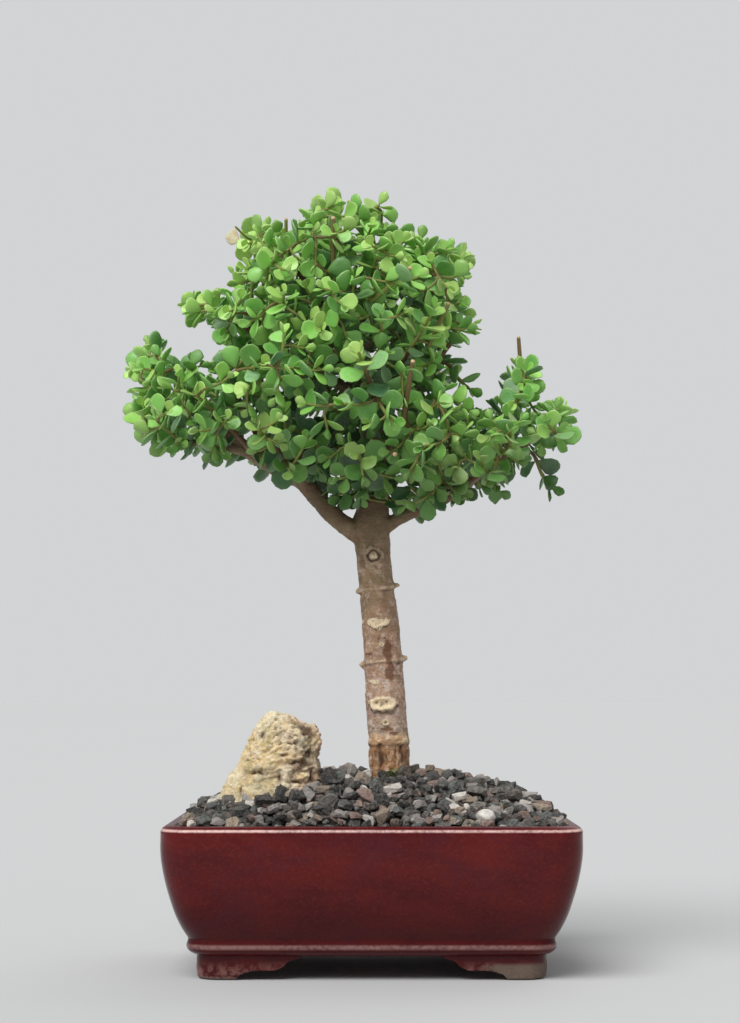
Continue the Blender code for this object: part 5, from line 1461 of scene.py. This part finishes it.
def glaze_finish(colours):
    """Oxblood glaze: brushed and mottled, thin and pinkish on edges with a painted highlight along the lip
    and the bead, darker low down, bare under the feet.
    """
    f = Finish("oxblood_glaze", Specular_IOR_Level=0.20)
    height = f.axis("Z")
    brushed = f.noise(1.0, 5, 0.62, f.stretched((26, 26, 60)), 0.4)
    flecks = f.noise(1.0, 4, 0.65, f.stretched((420, 420, 520)))
    fine = f.noise(1500, 2)
    f.colour = f.mix(f.between(brushed, 0.30, 0.70, 0.15, 0.85), colours.glaze_deep, colours.glaze)
    f.over(f.between(flecks, 0.48, 0.70) * 0.28, (0.175, 0.030, 0.018))
    purple = f.between(f.noise(40, 4, 0.55, None, 0.8), 0.50, 0.68)
    f.over(purple * 0.40, (0.070, 0.010, 0.020))
    f.over(f.between(fine, 0.60, 0.74) * 0.22, (0.26, 0.085, 0.050))
    f.over(f.between(height, 0.066, 0.022) * 0.42, (0.030, 0.003, 0.005))
    # Painted highlight: a pale pink line along the lip's edge and a fainter one on the bead, where the glaze
    # also runs thin
    line = f.between(height, LIP_EDGE - 0.0013, LIP_EDGE - 0.0002)
    line = line * f.between(height, LIP_EDGE + 0.0011, LIP_EDGE + 0.0002)
    bead_thin_glaze_and_highlight = f.between(height, 0.0180, 0.0196) * f.between(height, 0.0222, 0.0206)
    broken = f.between(flecks + brushed * 0.6, 0.55, 0.95, 0.35, 1.0)
    f.over(((line + bead_thin_glaze_and_highlight * 0.28) * broken).clamp(), (0.72, 0.46, 0.42))
    worn = f.between(height, 0.013, 0.003) * f.between(f.noise(150, 5, 0.65), 0.42, 0.60)
    f.over(worn * 0.50, (0.36, 0.18, 0.15))
    side = f.axis("X")
    patch = f.between(side + (flecks - 0.5) * 0.05, MIDDLE.x + 0.066, MIDDLE.x + 0.074)
    patch = patch * f.between(height, 0.011, 0.008)
    bare = (f.between(height + (flecks - 0.5) * 0.004, 0.0022, 0.0008) + patch * 0.85).clamp()
    f.over(bare, f.mix(flecks, colours.clay, (0.10, 0.065, 0.045)))
    roughness = f.between(flecks, 0.3, 0.7, 0.13, 0.24) + bare * 0.6
    waves = f.noise(70, 3) + flecks * 0.16 + fine * 0.03
    return f.done(Roughness=roughness, Normal=f.bump(waves, 0.0012, 0.25))


def soil_finish(colours):
    f = Finish("bonsai_soil", Roughness=0.95)
    grains = f.cells(260)
    colour = f.mix(f.noise(90, 4), colours.soil, (0.11, 0.075, 0.05))
    # Painted shade: near black between the grains
    colour = f.mix(f.between(grains, 0.5, 0.15), (0.02, 0.014, 0.01), colour)
    return f.done(colour, Normal=f.bump(grains, 0.002))


def screen_finish():
    f = Finish("screen_plastic")
    wear = f.noise(240, 4)
    colour = f.mix(wear, (0.012, 0.012, 0.013), (0.045, 0.044, 0.042))
    roughness = f.between(wear, 0.3, 0.7, 0.42, 0.62)
    return f.done(colour, Roughness=roughness, Normal=f.bump(f.noise(1400, 2), 0.0002, 0.5))


# Gravel, rock and pebbles


def mound(x, y):
    """Height of the gravel: highest at the trunk, falling to the pot's rim all round."""
    foot_x, foot_y = TRUNK_FOOT[0] * MM, TRUNK_FOOT[1] * MM
    inner_x = POT_HALF_WIDTH - WALL_INSET
    inner_y = POT_HALF_DEPTH - WALL_INSET
    reach_x = inner_x - foot_x if x > foot_x else inner_x + foot_x
    reach_y = inner_y - foot_y if y > foot_y else inner_y + foot_y
    across = abs((x - foot_x) / reach_x) ** 3 + abs((y - foot_y) / reach_y) ** 3
    share = min(1.0, across ** (1 / 3))
    return MOUND_EDGE + MOUND_RISE * (1 - share * share) ** 0.8


def trunk_dip(x, y):
    """How much lower the stones lie at that place near the trunk, in millimetres."""
    gap = math.hypot(x / MM - TRUNK_FOOT[0], y / MM - TRUNK_FOOT[1]) - DIP_START
    return TRUNK_DIP * math.exp(-((gap / DIP_REACH) ** 2))


def in_moss(x, y):
    middle_x, middle_y, half_x, half_y = MOSS
    return math.hypot((x / MM - middle_x) / half_x, (y / MM - middle_y) / half_y) < 1


def inside_rim(x, y, margin):
    """How far a place lies inside the pot's inner wall, less the margin."""
    half_x = POT_HALF_WIDTH - WALL_INSET - margin
    half_y = POT_HALF_DEPTH - WALL_INSET - margin
    corner = 14 * MM
    over_x = max(0.0, abs(x) - (half_x - corner))
    over_y = max(0.0, abs(y) - (half_y - corner))
    return corner - math.hypot(over_x, over_y)


def rock_half_depth(rise):
    return ROCK_HALF_DEPTH * (1 - rise**2.6) ** 0.5 * 0.92 + 3.0


def rock_span(y, height):
    """Left and right sides of the rock at that place in its depth and height, or None outside it."""
    rise = max(0.0, min(1.0, (height - ROCK_FOOT) / (ROCK_TOP - ROCK_FOOT)))
    away = (y / MM - ROCK_MIDDLE_Y - ROCK_LEAN * rise) / rock_half_depth(rise)
    if abs(away) >= 1:
        return None
    table = np.array(ROCK_RINGS)
    left, right = (np.interp(rise, table[:, 0], table[:, i]) for i in (1, 2))
    half = (right - left) / 2 * (1 - abs(away) ** 2.5) ** (1 / 2.5)
    return ((left + right) / 2 - half) * MM, ((left + right) / 2 + half) * MM


def chip_shape(draw, cuts, bevel):
    """One crushed stone: a cube cut by planes at random angles, with its edges worn."""
    chip = add_primitive(bpy.ops.mesh.primitive_cube_add, "chip", size=2)
    bpy.ops.object.mode_set(mode="EDIT")
    for _ in range(cuts):
        normal = Vector([draw.gauss(0, 1) for _ in range(3)]).normalized()
        bpy.ops.mesh.select_all(action="SELECT")
        bpy.ops.mesh.bisect(plane_co=normal * draw.uniform(0.70, 0.98), plane_no=normal, use_fill=True,
                            clear_outer=True)  # fmt: skip
    bpy.ops.object.mode_set(mode="OBJECT")
    face_outwards(chip)
    if bevel:
        use_modifier(chip, "BEVEL", width=bevel, segments=1, limit_method="NONE")
    shape = points_of(chip), [tuple(face.vertices) for face in chip.data.polygons]
    bpy.data.objects.remove(chip, do_unlink=True)
    return shape


def stone_places(count, spacing, margin, draw):
    """Places over the mound, no two nearer than the spacing, clear of the trunk and the rock."""
    placed = {}
    places = []
    misses = 0
    while len(places) < count and misses < MOST_MISSES:
        x = draw.uniform(-POT_HALF_WIDTH, POT_HALF_WIDTH)
        y = draw.uniform(-POT_HALF_DEPTH, POT_HALF_DEPTH)
        box = (int(x // spacing), int(y // spacing))
        near = [p for i in (-1, 0, 1) for j in (-1, 0, 1) for p in placed.get((box[0] + i, box[1] + j), ())]
        on_trunk = math.hypot(x - TRUNK_FOOT[0] * MM, y - TRUNK_FOOT[1] * MM) < TRUNK_CLEAR
        span = rock_span(y, mound(x, y))
        in_rock = span is not None and span[0] + 1 * MM < x < span[1] - 1 * MM
        crowded = any(math.dist(p, (x, y)) < spacing for p in near)
        if inside_rim(x, y, margin) < 0 or on_trunk or in_rock or crowded:
            misses += 1
            continue
        misses = 0
        placed.setdefault(box, []).append((x, y))
        places.append((x, y))
    return places


def make_gravel(settings, material):
    draw = random.Random(settings.seed)
    worn = [chip_shape(draw, 10, 0.12) for _ in range(12)]
    plain = [chip_shape(draw, 8, 0) for _ in range(8)]
    for name, count, spacing, lift, sizes in STONE_LAYERS:
        heap = Heap("stone", "shade")
        lowest = name == "gravel_lower"
        shapes = plain if lowest else worn
        for x, y in stone_places(count, spacing * MM, RIM_CLEAR, draw):
            if in_moss(x, y) and not lowest:
                continue
            size = draw.uniform(*sizes)
            radii = [size * draw.uniform(*shares) for shares in STONE_SHARES]
            height = mound(x, y) + (lift - trunk_dip(x, y) + draw.uniform(-1.0, 1.0)) * MM
            add_stone(heap, draw.choice(shapes), (x, y, height), radii, draw, draw.random())
        if name == "gravel_stones":
            add_chosen_stones(heap, worn, draw)
        stones = heap.build(name)
        face_outwards(stones)
        finish_piece(stones, material)


def add_chosen_stones(heap, shapes, draw):
    for (x, y, half_width, half_height, tone), shape in zip(CHOSEN_STONES, shapes):
        place = (x * MM, y * MM, mound(x * MM, y * MM) + (half_height * 0.55 + 1.5) * MM)
        add_stone(heap, shape, place, (half_width, half_height * 0.9, half_height), draw, tone)


def add_stone(heap, shape, place, radii, draw, tone):
    turn = Matrix.Rotation(draw.uniform(-0.6, 0.6) + math.pi * draw.randint(0, 1), 4, "Z")
    turn = turn @ Matrix.Rotation(draw.gauss(0, 0.3), 4, "X") @ Matrix.Rotation(draw.gauss(0, 0.3), 4, "Y")
    place = Matrix.Translation(place) @ turn @ Matrix.Diagonal((*[r * MM for r in radii], 1))
    heap.add(*shape, place, stone=tone, shade=draw.random())


def make_gravel_bed(material):
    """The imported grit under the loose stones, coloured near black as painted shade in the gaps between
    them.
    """
    half_x = POT_HALF_WIDTH - WALL_INSET - 1 * MM
    half_y = POT_HALF_DEPTH - WALL_INSET - 1 * MM
    settings = {"size": 2, "x_subdivisions": 60, "y_subdivisions": 44}
    bed = add_primitive(bpy.ops.mesh.primitive_grid_add, "gravel_bed", **settings)
    bpy.ops.object.mode_set(mode="EDIT")
    bpy.ops.transform.resize(value=(half_x, half_y, 1))
    bpy.ops.mesh.extrude_region_move(TRANSFORM_OT_translate={"value": (0, 0, 10 * MM)})
    bpy.ops.object.mode_set(mode="OBJECT")
    settle(bed)
    points = []
    for x, y, z in points_of(bed):
        over = inside_rim(x, y, 1 * MM)
        if over < 0:
            pull = 1 + over / max(1e-6, math.hypot(abs(x), abs(y)))
            x, y = x * pull, y * pull
        grit = noise.noise(Vector((x, y, 0)) * 170) * 1.6 * MM - 0.6 * trunk_dip(x, y) * MM
        points.append((x, y, mound(x, y) - BED_DROP + grit - (0 if z > 5 * MM else 4 * MM)))
    move_points(bed, points)
    return finish_smooth(bed, material, ["gravel"])


# Tints of the stones, from the commonest darks to the rare pale ones, each from that share of them upwards
STONE_TINTS = [
    (0.0, (0.030, 0.031, 0.029)), (0.19, (0.074, 0.076, 0.072)), (0.36, (0.185, 0.168, 0.152)),
    (0.48, (0.075, 0.054, 0.044)), (0.57, (0.370, 0.240, 0.195)), (0.66, (0.125, 0.140, 0.130)),
    (0.76, (0.430, 0.335, 0.245)), (0.84, (0.520, 0.470, 0.435)), (0.945, (0.86, 0.79, 0.71)),
]  # fmt: skip


def gravel_finish():
    """Crushed stone: each grain grey, blue-grey, brown or tan, with lighter flecks, dark specks and some
    stones darker at random.
    """
    f = Finish("crushed_stone")
    tints = f.ramp(f.attribute("stone"), *STONE_TINTS, interpolation="CONSTANT")
    grain = f.noise(480, 5, 0.72)
    pits = f.cells(1100)
    lighter = f.mix(0.36, tints, (0.62, 0.56, 0.50))
    f.colour = f.mix(f.between(grain, 0.46, 0.62) * 0.80, tints, lighter)
    f.over(f.between(grain, 0.45, 0.34) * 0.60, (0.022, 0.020, 0.020))
    f.over(f.between(f.noise(1500, 3), 0.57, 0.67) * 0.55, lighter)
    f.over(f.attribute("shade") * 0.42, (0.040, 0.035, 0.031))
    roughness = f.between(grain, 0.2, 0.8, 0.62, 0.92)
    return f.done(Roughness=roughness, Normal=f.bump(grain + f.between(pits, 0.1, 0.5) * 0.4, 0.0014, 1.0))


# Grit coloured near black as painted shade in the gaps between the stones, darkest between its own grains
def bed_finish():
    f = Finish("packed_grit", Roughness=0.95)
    grit = f.cells(330)
    colour = f.mix(f.noise(300, 4), (0.020, 0.017, 0.015), (0.085, 0.070, 0.060))
    colour = f.mix(f.between(grit, 0.1, 0.6), colour, (0.012, 0.010, 0.009))
    return f.done(colour, Normal=f.bump(grit, 0.002))


def rock_skin():
    """The rock's rings, finely drawn, with its foot on the mound's slope."""
    rings = []
    for rise, left, right in smooth_line([(a * 80, b, c) for a, b, c in ROCK_RINGS], 2.5):
        rise = max(0.0, min(1.0, rise / 80))
        middle = ROCK_MIDDLE_Y + ROCK_LEAN * rise
        ring = []
        for side in range(ROCK_SIDES):
            angle = math.tau * side / ROCK_SIDES
            across = math.copysign(abs(math.cos(angle)) ** 0.8, math.cos(angle))
            back = math.copysign(abs(math.sin(angle)) ** 0.8, math.sin(angle))
            x = (left + right) / 2 + (right - left) / 2 * across
            point = at(x, middle + rock_half_depth(rise) * 0.93 * back, 0)
            foot = mound(point.x, point.y) - ROCK_SINK
            point.z = foot + (ROCK_TOP - foot) * rise
            ring.append(point)
        rings.append(ring)
    return rings


def make_rock(settings, material):
    rock = mesh_object("limestone_rock", *loft(rock_skin()))
    face_outwards(rock)
    use_modifier(rock, "REMESH", mode="VOXEL", voxel_size=settings.voxel)
    use_modifier(rock, "SMOOTH", factor=0.5, iterations=2)
    relief = Relief(points_of(rock), "pit")
    noise.seed_set(settings.seed)
    crests = []
    pits = []
    for point in relief.points:
        place = Vector(point)
        place += noise.noise_vector(place * 75) * 4.5 * MM
        crests.append(noise.ridged_multi_fractal(place * 62, 0.9, 2.1, 5, 1.0, 2.0))
        layered = Vector((place.x * 230, place.y * 230, place.z * 420))
        pits.append(max(0.0, 0.40 - noise.voronoi(layered)[0][0]) / 0.40)
    crests = np.array(crests)
    pits = np.array(pits) * (noise_at(relief.points, 60) > -0.15)
    rough = np.clip(0.75 + 0.9 * noise_at(relief.points, 36) + (relief.x + 62) / 60, 0.30, 1.5)
    relief.lift += 2.2 * noise_at(relief.points, 42, octaves=2) + 1.7 * rough * (crests - crests.mean()) - 0.8
    relief.lift += rough * (1.7 * noise_at(relief.points, 240, (1, 1, 1.8), 5) - 1.9 * pits**1.2)
    # Dark in the sunken pits, partly painted shade
    relief.raise_to("pit", 0.9 * rough * pits)
    for x, z, reach, out in ROCK_SWELLS:
        relief.lift += out * hill(np.hypot(relief.x - x, relief.z - z), reach)
    # Painted shade in the hollows between crests
    relief.raise_to("pit", rough * np.clip(0.95 - 0.9 * crests, 0, 0.85))
    front = relief.y < ROCK_MIDDLE_Y
    ragged = noise_at(relief.points, 190, octaves=3)
    for x, z, half_x, half_z, depth in ROCK_CREVICES:
        away = np.hypot((relief.x - x) / half_x, (relief.z - z + 2.0 * ragged) / half_z)
        relief.lift -= 0.85 * depth * hill(away, 0.8) * front
        # Painted shade in the crevices
        relief.raise_to("pit", 1.2 * hill(away, 0.72) * front)
    relief.apply(rock)
    rock.data.shade_smooth()
    return finish_piece(rock, material, ["rock"])


def rock_finish(colours):
    """Cream and ochre limestone, olive on its left, pinkish brown on its right, dark in its pits, with
    painted shade in its pits, hollows and crevices.
    """
    f = Finish("pitted_limestone")
    blotch = f.noise(65, 5, 0.65)
    side = f.axis("X") + (blotch - 0.5) * 0.03
    f.colour = f.mix(f.between(blotch, 0.40, 0.58), colours.rock, (1.0, 0.88, 0.62))
    olive = f.between(side, MIDDLE.x - 0.056, MIDDLE.x - 0.066) * f.between(f.noise(110, 4), 0.40, 0.62)
    f.over(olive * 0.60, (0.60, 0.49, 0.20))
    pink = f.between(side, MIDDLE.x - 0.060, MIDDLE.x - 0.044)
    f.over(pink * f.between(f.noise(90, 4), 0.35, 0.65) * 0.75, (0.80, 0.52, 0.37))
    brown = f.between(side, MIDDLE.x - 0.041, MIDDLE.x - 0.034)
    f.over(brown * 0.50, (0.40, 0.26, 0.17))
    rust = f.between(f.noise(240, 5, 0.7), 0.52, 0.66)
    f.over(rust * 0.35, (0.60, 0.37, 0.15))
    speck = f.between(f.noise(620, 5, 0.7), 0.53, 0.62)
    f.over(speck * 0.50, (0.26, 0.145, 0.065))
    crust = f.between(f.noise(480, 4, 0.7, f.stretched((1, 1, 1.6))), 0.54, 0.62)
    f.over(crust * 0.8, (1.0, 0.92, 0.74))
    # Painted shade in the pits, hollows and crevices
    f.over((f.attribute("pit") * 0.95).clamp(), (0.115, 0.056, 0.024))
    roughness = f.between(blotch, 0.2, 0.8, 0.75, 0.92)
    return f.done(Roughness=roughness, Normal=f.bump(f.noise(420, 6, 0.75), 0.0018, 1.0))


def make_pebble(material):
    """The one smooth white stone near the rim."""
    x, y = PEBBLE_PLACE[0] * MM, PEBBLE_PLACE[1] * MM
    pebble = add_primitive(bpy.ops.mesh.primitive_ico_sphere_add, "white_stone", subdivisions=4, radius=1)
    points = []
    for vert in pebble.data.vertices:
        push = 1 + 0.16 * noise.noise(vert.co * 1.3) + 0.05 * noise.noise(vert.co * 4)
        out = [value * push * half * MM for value, half in zip(vert.co, PEBBLE_HALF)]
        points.append((x + out[0], y + out[1], mound(x, y) + PEBBLE_LIFT * MM + out[2]))
    move_points(pebble, points)
    pebble.data.shade_smooth()
    return finish_piece(pebble, material, ["white_pebble"])


def quartz_finish():
    f = Finish("white_quartz", Subsurface_Weight=0.15, Subsurface_Scale=0.002,
               Subsurface_Radius=(1.0, 0.9, 0.8))  # fmt: skip
    vein = f.noise(260, 5, 0.6)
    colour = f.mix(f.between(vein, 0.4, 0.7), (0.72, 0.69, 0.64), (0.52, 0.46, 0.40))
    roughness = f.between(vein, 0.2, 0.8, 0.35, 0.6)
    return f.done(colour, Roughness=roughness, Normal=f.bump(f.noise(900, 4), 0.0004, 0.7))


def make_sprouts(shapes, material):
    """Moss in the gravel at the trunk's foot: a patch of tiny leaves, every ninth longer and lighter."""
    draw = random.Random(4)
    heap = Heap(*LEAF_MASKS)
    for number in range(MOSS_LEAVES):
        bright = number % 9 == 0
        base = at(MOSS[0] + draw.gauss(0, 0.5) * MOSS[2], MOSS[1] + draw.gauss(0, 0.5) * MOSS[3], 0)
        base.z = mound(base.x, base.y) + draw.uniform(-0.5, 2.8 if bright else 1.8) * MM
        bearing = draw.uniform(0, math.tau)
        across = Vector((math.cos(bearing), math.sin(bearing), 0))
        place = leaf_place(base, UP, across, math.radians(draw.uniform(15, 75)), 0)
        length = draw.uniform(2.4, 3.8) if bright else draw.uniform(1.6, 2.8)
        young = 0.5 if bright else draw.uniform(-0.6, 0.1)
        add_leaf(heap, draw.choice(shapes), place, length * MM, young, 0.5)
    return finish_smooth(heap.build("sprouts"), material)


# Sizes and colours that a user would change


def colour_property(name, description, default):
    limits = {"min": 0, "max": 1}
    return bpy.props.FloatVectorProperty(
        name=name, description=description, default=default, subtype="COLOR", **limits)  # fmt: skip


def length_property(name, description, default):
    return bpy.props.FloatProperty(
        name=name, description=description, default=default, unit="LENGTH", subtype="DISTANCE")  # fmt: skip


def number_property(name, description, default):
    kind = bpy.props.IntProperty if isinstance(default, int) else bpy.props.FloatProperty
    return kind(name=name, description=description, default=default)


class BonsaiColours(bpy.types.PropertyGroup):
    leaf_tip: colour_property("Newest leaf", "Yellow-green of the leaves at each tip", (0.50, 0.75, 0.19))
    leaf_fresh: colour_property("Young leaf", "Bright green of young leaves", (0.300, 0.70, 0.115))
    leaf_mid: colour_property("Grown leaf", "Green of grown leaves", (0.155, 0.455, 0.086))
    leaf_old: colour_property("Old leaf", "Grey-green of the oldest leaves", (0.090, 0.260, 0.105))
    twig: colour_property("Twig", "Reddish brown of young wood", (0.18, 0.088, 0.046))
    bark: colour_property("Bark", "Pinkish grey-brown of the trunk", (0.52, 0.32, 0.20))
    glaze: colour_property("Glaze", "Oxblood red of the pot", (0.125, 0.009, 0.008))
    glaze_deep: colour_property("Deep glaze", "Red where the glaze is thick", (0.066, 0.004, 0.007))
    clay: colour_property("Clay", "Bare clay under the feet", (0.22, 0.180, 0.145))
    soil: colour_property("Soil", "Dark potting soil", (0.050, 0.034, 0.024))
    rock: colour_property("Rock", "Cream of the limestone", (0.98, 0.74, 0.40))


class BonsaiPotSettings(bpy.types.PropertyGroup):
    step: length_property("Profile step", "Distance between the rows of the pot's wall", 2.2 * MM)
    corner_steps: number_property("Corner steps", "Faces round each corner", 10)


class BonsaiTreeSettings(bpy.types.PropertyGroup):
    leaf_length: length_property("Leaf length", "Length of a full-grown leaf", 17.2 * MM)
    fine_shoots: number_property("Fine shoots", "Short shoots that fill the crown", 680)
    voxel: length_property("Bark detail", "Size of the smallest form on the bark", 0.82 * MM)


class BonsaiGroundSettings(bpy.types.PropertyGroup):
    seed: number_property("Seed", "Number that the stones' random forms start from", 3)
    voxel: length_property("Rock detail", "Size of the smallest form on the rock", 0.75 * MM)


class BonsaiStageSettings(bpy.types.PropertyGroup):
    camera_distance: length_property("Camera distance", "From the pot's middle", EYE_DISTANCE * MM)
    camera_height: length_property("Camera height", "Over the floor", EYE_HEIGHT * MM)
    pitch: bpy.props.FloatProperty(
        name="Pitch", description="How far the camera looks up", default=math.radians(4.71),
        unit="ROTATION", subtype="ANGLE")  # fmt: skip
    focal_pixels: number_property("Focal length", "In pixels of the photo", 2167.0)
    floor: colour_property("Floor", "Pale floor", (0.578, 0.580, 0.580))
    ambient: number_property("Ambient", "Brightness of the light from all sides", 0.34)
    backdrop: number_property("Backdrop", "Brightness of the background", 0.655)


GROUPS = {
    "bonsai_colours": BonsaiColours,
    "bonsai_pot": BonsaiPotSettings,
    "bonsai_tree": BonsaiTreeSettings,
    "bonsai_ground": BonsaiGroundSettings,
    "bonsai_stage": BonsaiStageSettings,
}
# Soft lights: (name, bearing and height over the horizon in degrees, width in degrees, strength)
LAMPS = [("key", -30, 52, 40, 2.75), ("back", 150, 45, 60, 0.5)]
PHOTO_HEIGHT = 1023
SENSOR = 36.0
CAMERA_SIDE = -1 * MM
FLOOR_RADIUS = 30


# Operators


class BONSAI_OT_pot(bpy.types.Operator):
    """Model the glazed pot, and finish the soil and the drain screens in it"""

    bl_idname = "bonsai.pot"
    bl_label = "Pot"

    def execute(self, context):
        scene = context.scene
        make_pot(scene.bonsai_pot, glaze_finish(scene.bonsai_colours))
        soil, mesh = soil_finish(scene.bonsai_colours), screen_finish()
        for name, material in (("soil", soil), ("drain_screen_left", mesh), ("drain_screen_right", mesh)):
            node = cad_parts[name]
            node.data.materials.clear()
            node.data.materials.append(material)
        return {"FINISHED"}


class BONSAI_OT_ground(bpy.types.Operator):
    """Model the gravel, the rock and the white stone"""

    bl_idname = "bonsai.ground"
    bl_label = "Gravel and rock"

    def execute(self, context):
        scene = context.scene
        make_gravel_bed(bed_finish())
        make_gravel(scene.bonsai_ground, gravel_finish())
        make_rock(scene.bonsai_ground, rock_finish(scene.bonsai_colours))
        make_pebble(quartz_finish())
        return {"FINISHED"}


class BONSAI_OT_tree(bpy.types.Operator):
    """Model the trunk, the limbs, the twigs and the leaves"""

    bl_idname = "bonsai.tree"
    bl_label = "Tree"

    def execute(self, context):
        scene = context.scene
        settings = scene.bonsai_tree
        bark = bark_finish(scene.bonsai_colours)
        branches = grow_crown(settings.leaf_length, settings.fine_shoots)
        make_trunk(settings, bark)
        make_inner_limbs(branches, bark)
        shapes = [leaf_shape(*form) for form in LEAF_FORMS]
        leaf = leaf_finish(scene.bonsai_colours)
        wood = twig_finish(scene.bonsai_colours)
        draw = random.Random(17)
        stubs = []
        for base, tip, *rest in STUBS:
            foot, carrier = nearest_wood(branches, at(*base))
            stubs.append((carrier, (foot, at(*base), at(*tip), *rest)))
        tips = [branch.outer[-1] for branch in branches]
        for branch in branches:
            make_leaves(branch, tips, shapes, leaf, draw)
            make_twigs(branch, [row for carrier, row in stubs if carrier is branch], wood)
        make_sprouts(shapes, moss_finish())
        return {"FINISHED"}


class BONSAI_OT_stage(bpy.types.Operator):
    """Set up the floor, the soft studio lights and the camera"""

    bl_idname = "bonsai.stage"
    bl_label = "Stage"

    def execute(self, context):
        settings = context.scene.bonsai_stage
        scene = context.scene
        disc = {"vertices": 96, "radius": FLOOR_RADIUS, "fill_type": "NGON"}
        floor = add_primitive(bpy.ops.mesh.primitive_circle_add, "floor", **disc)
        paper = Finish("pale_floor", Roughness=0.9)
        darker = [0.98 * value for value in settings.floor]
        paper.drive("Base Color", paper.mix(paper.noise(2.0, 2), settings.floor, darker))
        floor.data.materials.append(paper.material)
        for name, bearing, rise, width, power in LAMPS:
            light = bpy.data.lights.new(name, "SUN")
            light.angle = math.radians(width)
            light.energy = power
            lamp = bpy.data.objects.new(name, light)
            lamp.rotation_euler = (math.radians(90 - rise), 0, math.radians(bearing))
            scene.collection.objects.link(lamp)
        world = bpy.data.worlds.new("studio")
        world.use_nodes = True
        nodes, links = world.node_tree.nodes, world.node_tree.links
        nodes["Background"].inputs["Color"].default_value = (0.98, 1.0, 1.02, 1)
        seen = nodes.new("ShaderNodeLightPath").outputs["Is Camera Ray"]
        strength = nodes.new("ShaderNodeMapRange")
        strength.inputs["To Min"].default_value = settings.ambient
        strength.inputs["To Max"].default_value = settings.backdrop
        links.new(seen, strength.inputs["Value"])
        links.new(strength.outputs["Result"], nodes["Background"].inputs["Strength"])
        scene.world = world
        scene.view_settings.view_transform = "Standard"
        camera = bpy.data.objects.new("camera", bpy.data.cameras.new("camera"))
        camera.data.sensor_width = SENSOR
        camera.data.lens = settings.focal_pixels / PHOTO_HEIGHT * SENSOR
        camera.location = MIDDLE + Vector((CAMERA_SIDE, -settings.camera_distance, settings.camera_height))
        camera.rotation_euler = (math.pi / 2 + settings.pitch, 0, 0)
        scene.collection.objects.link(camera)
        scene.camera = camera
        return {"FINISHED"}


class BONSAI_PT_panel(bpy.types.Panel):
    """Buttons and settings of the bonsai"""

    bl_idname = "BONSAI_PT_panel"
    bl_label = "Dwarf jade bonsai"
    bl_space_type = "VIEW_3D"
    bl_region_type = "UI"
    bl_category = "Bonsai"

    def draw(self, context):
        for operator in OPERATORS:
            self.layout.operator(operator.bl_idname)
        for key, group in GROUPS.items():
            column = self.layout.column()
            for name in group.__annotations__:
                column.prop(getattr(context.scene, key), name)


OPERATORS = [BONSAI_OT_pot, BONSAI_OT_ground, BONSAI_OT_tree, BONSAI_OT_stage]


def register():
    for item in [*GROUPS.values(), *OPERATORS, BONSAI_PT_panel]:
        bpy.utils.register_class(item)
    for key, group in GROUPS.items():
        setattr(bpy.types.Scene, key, bpy.props.PointerProperty(type=group))


def unregister():
    for key in GROUPS:
        delattr(bpy.types.Scene, key)
    for item in reversed([*GROUPS.values(), *OPERATORS, BONSAI_PT_panel]):
        bpy.utils.unregister_class(item)


def main():
    register()
    bpy.ops.bonsai.pot()
    bpy.ops.bonsai.ground()
    bpy.ops.bonsai.tree()
    bpy.ops.bonsai.stage()


if __name__ == "__main__":
    main()
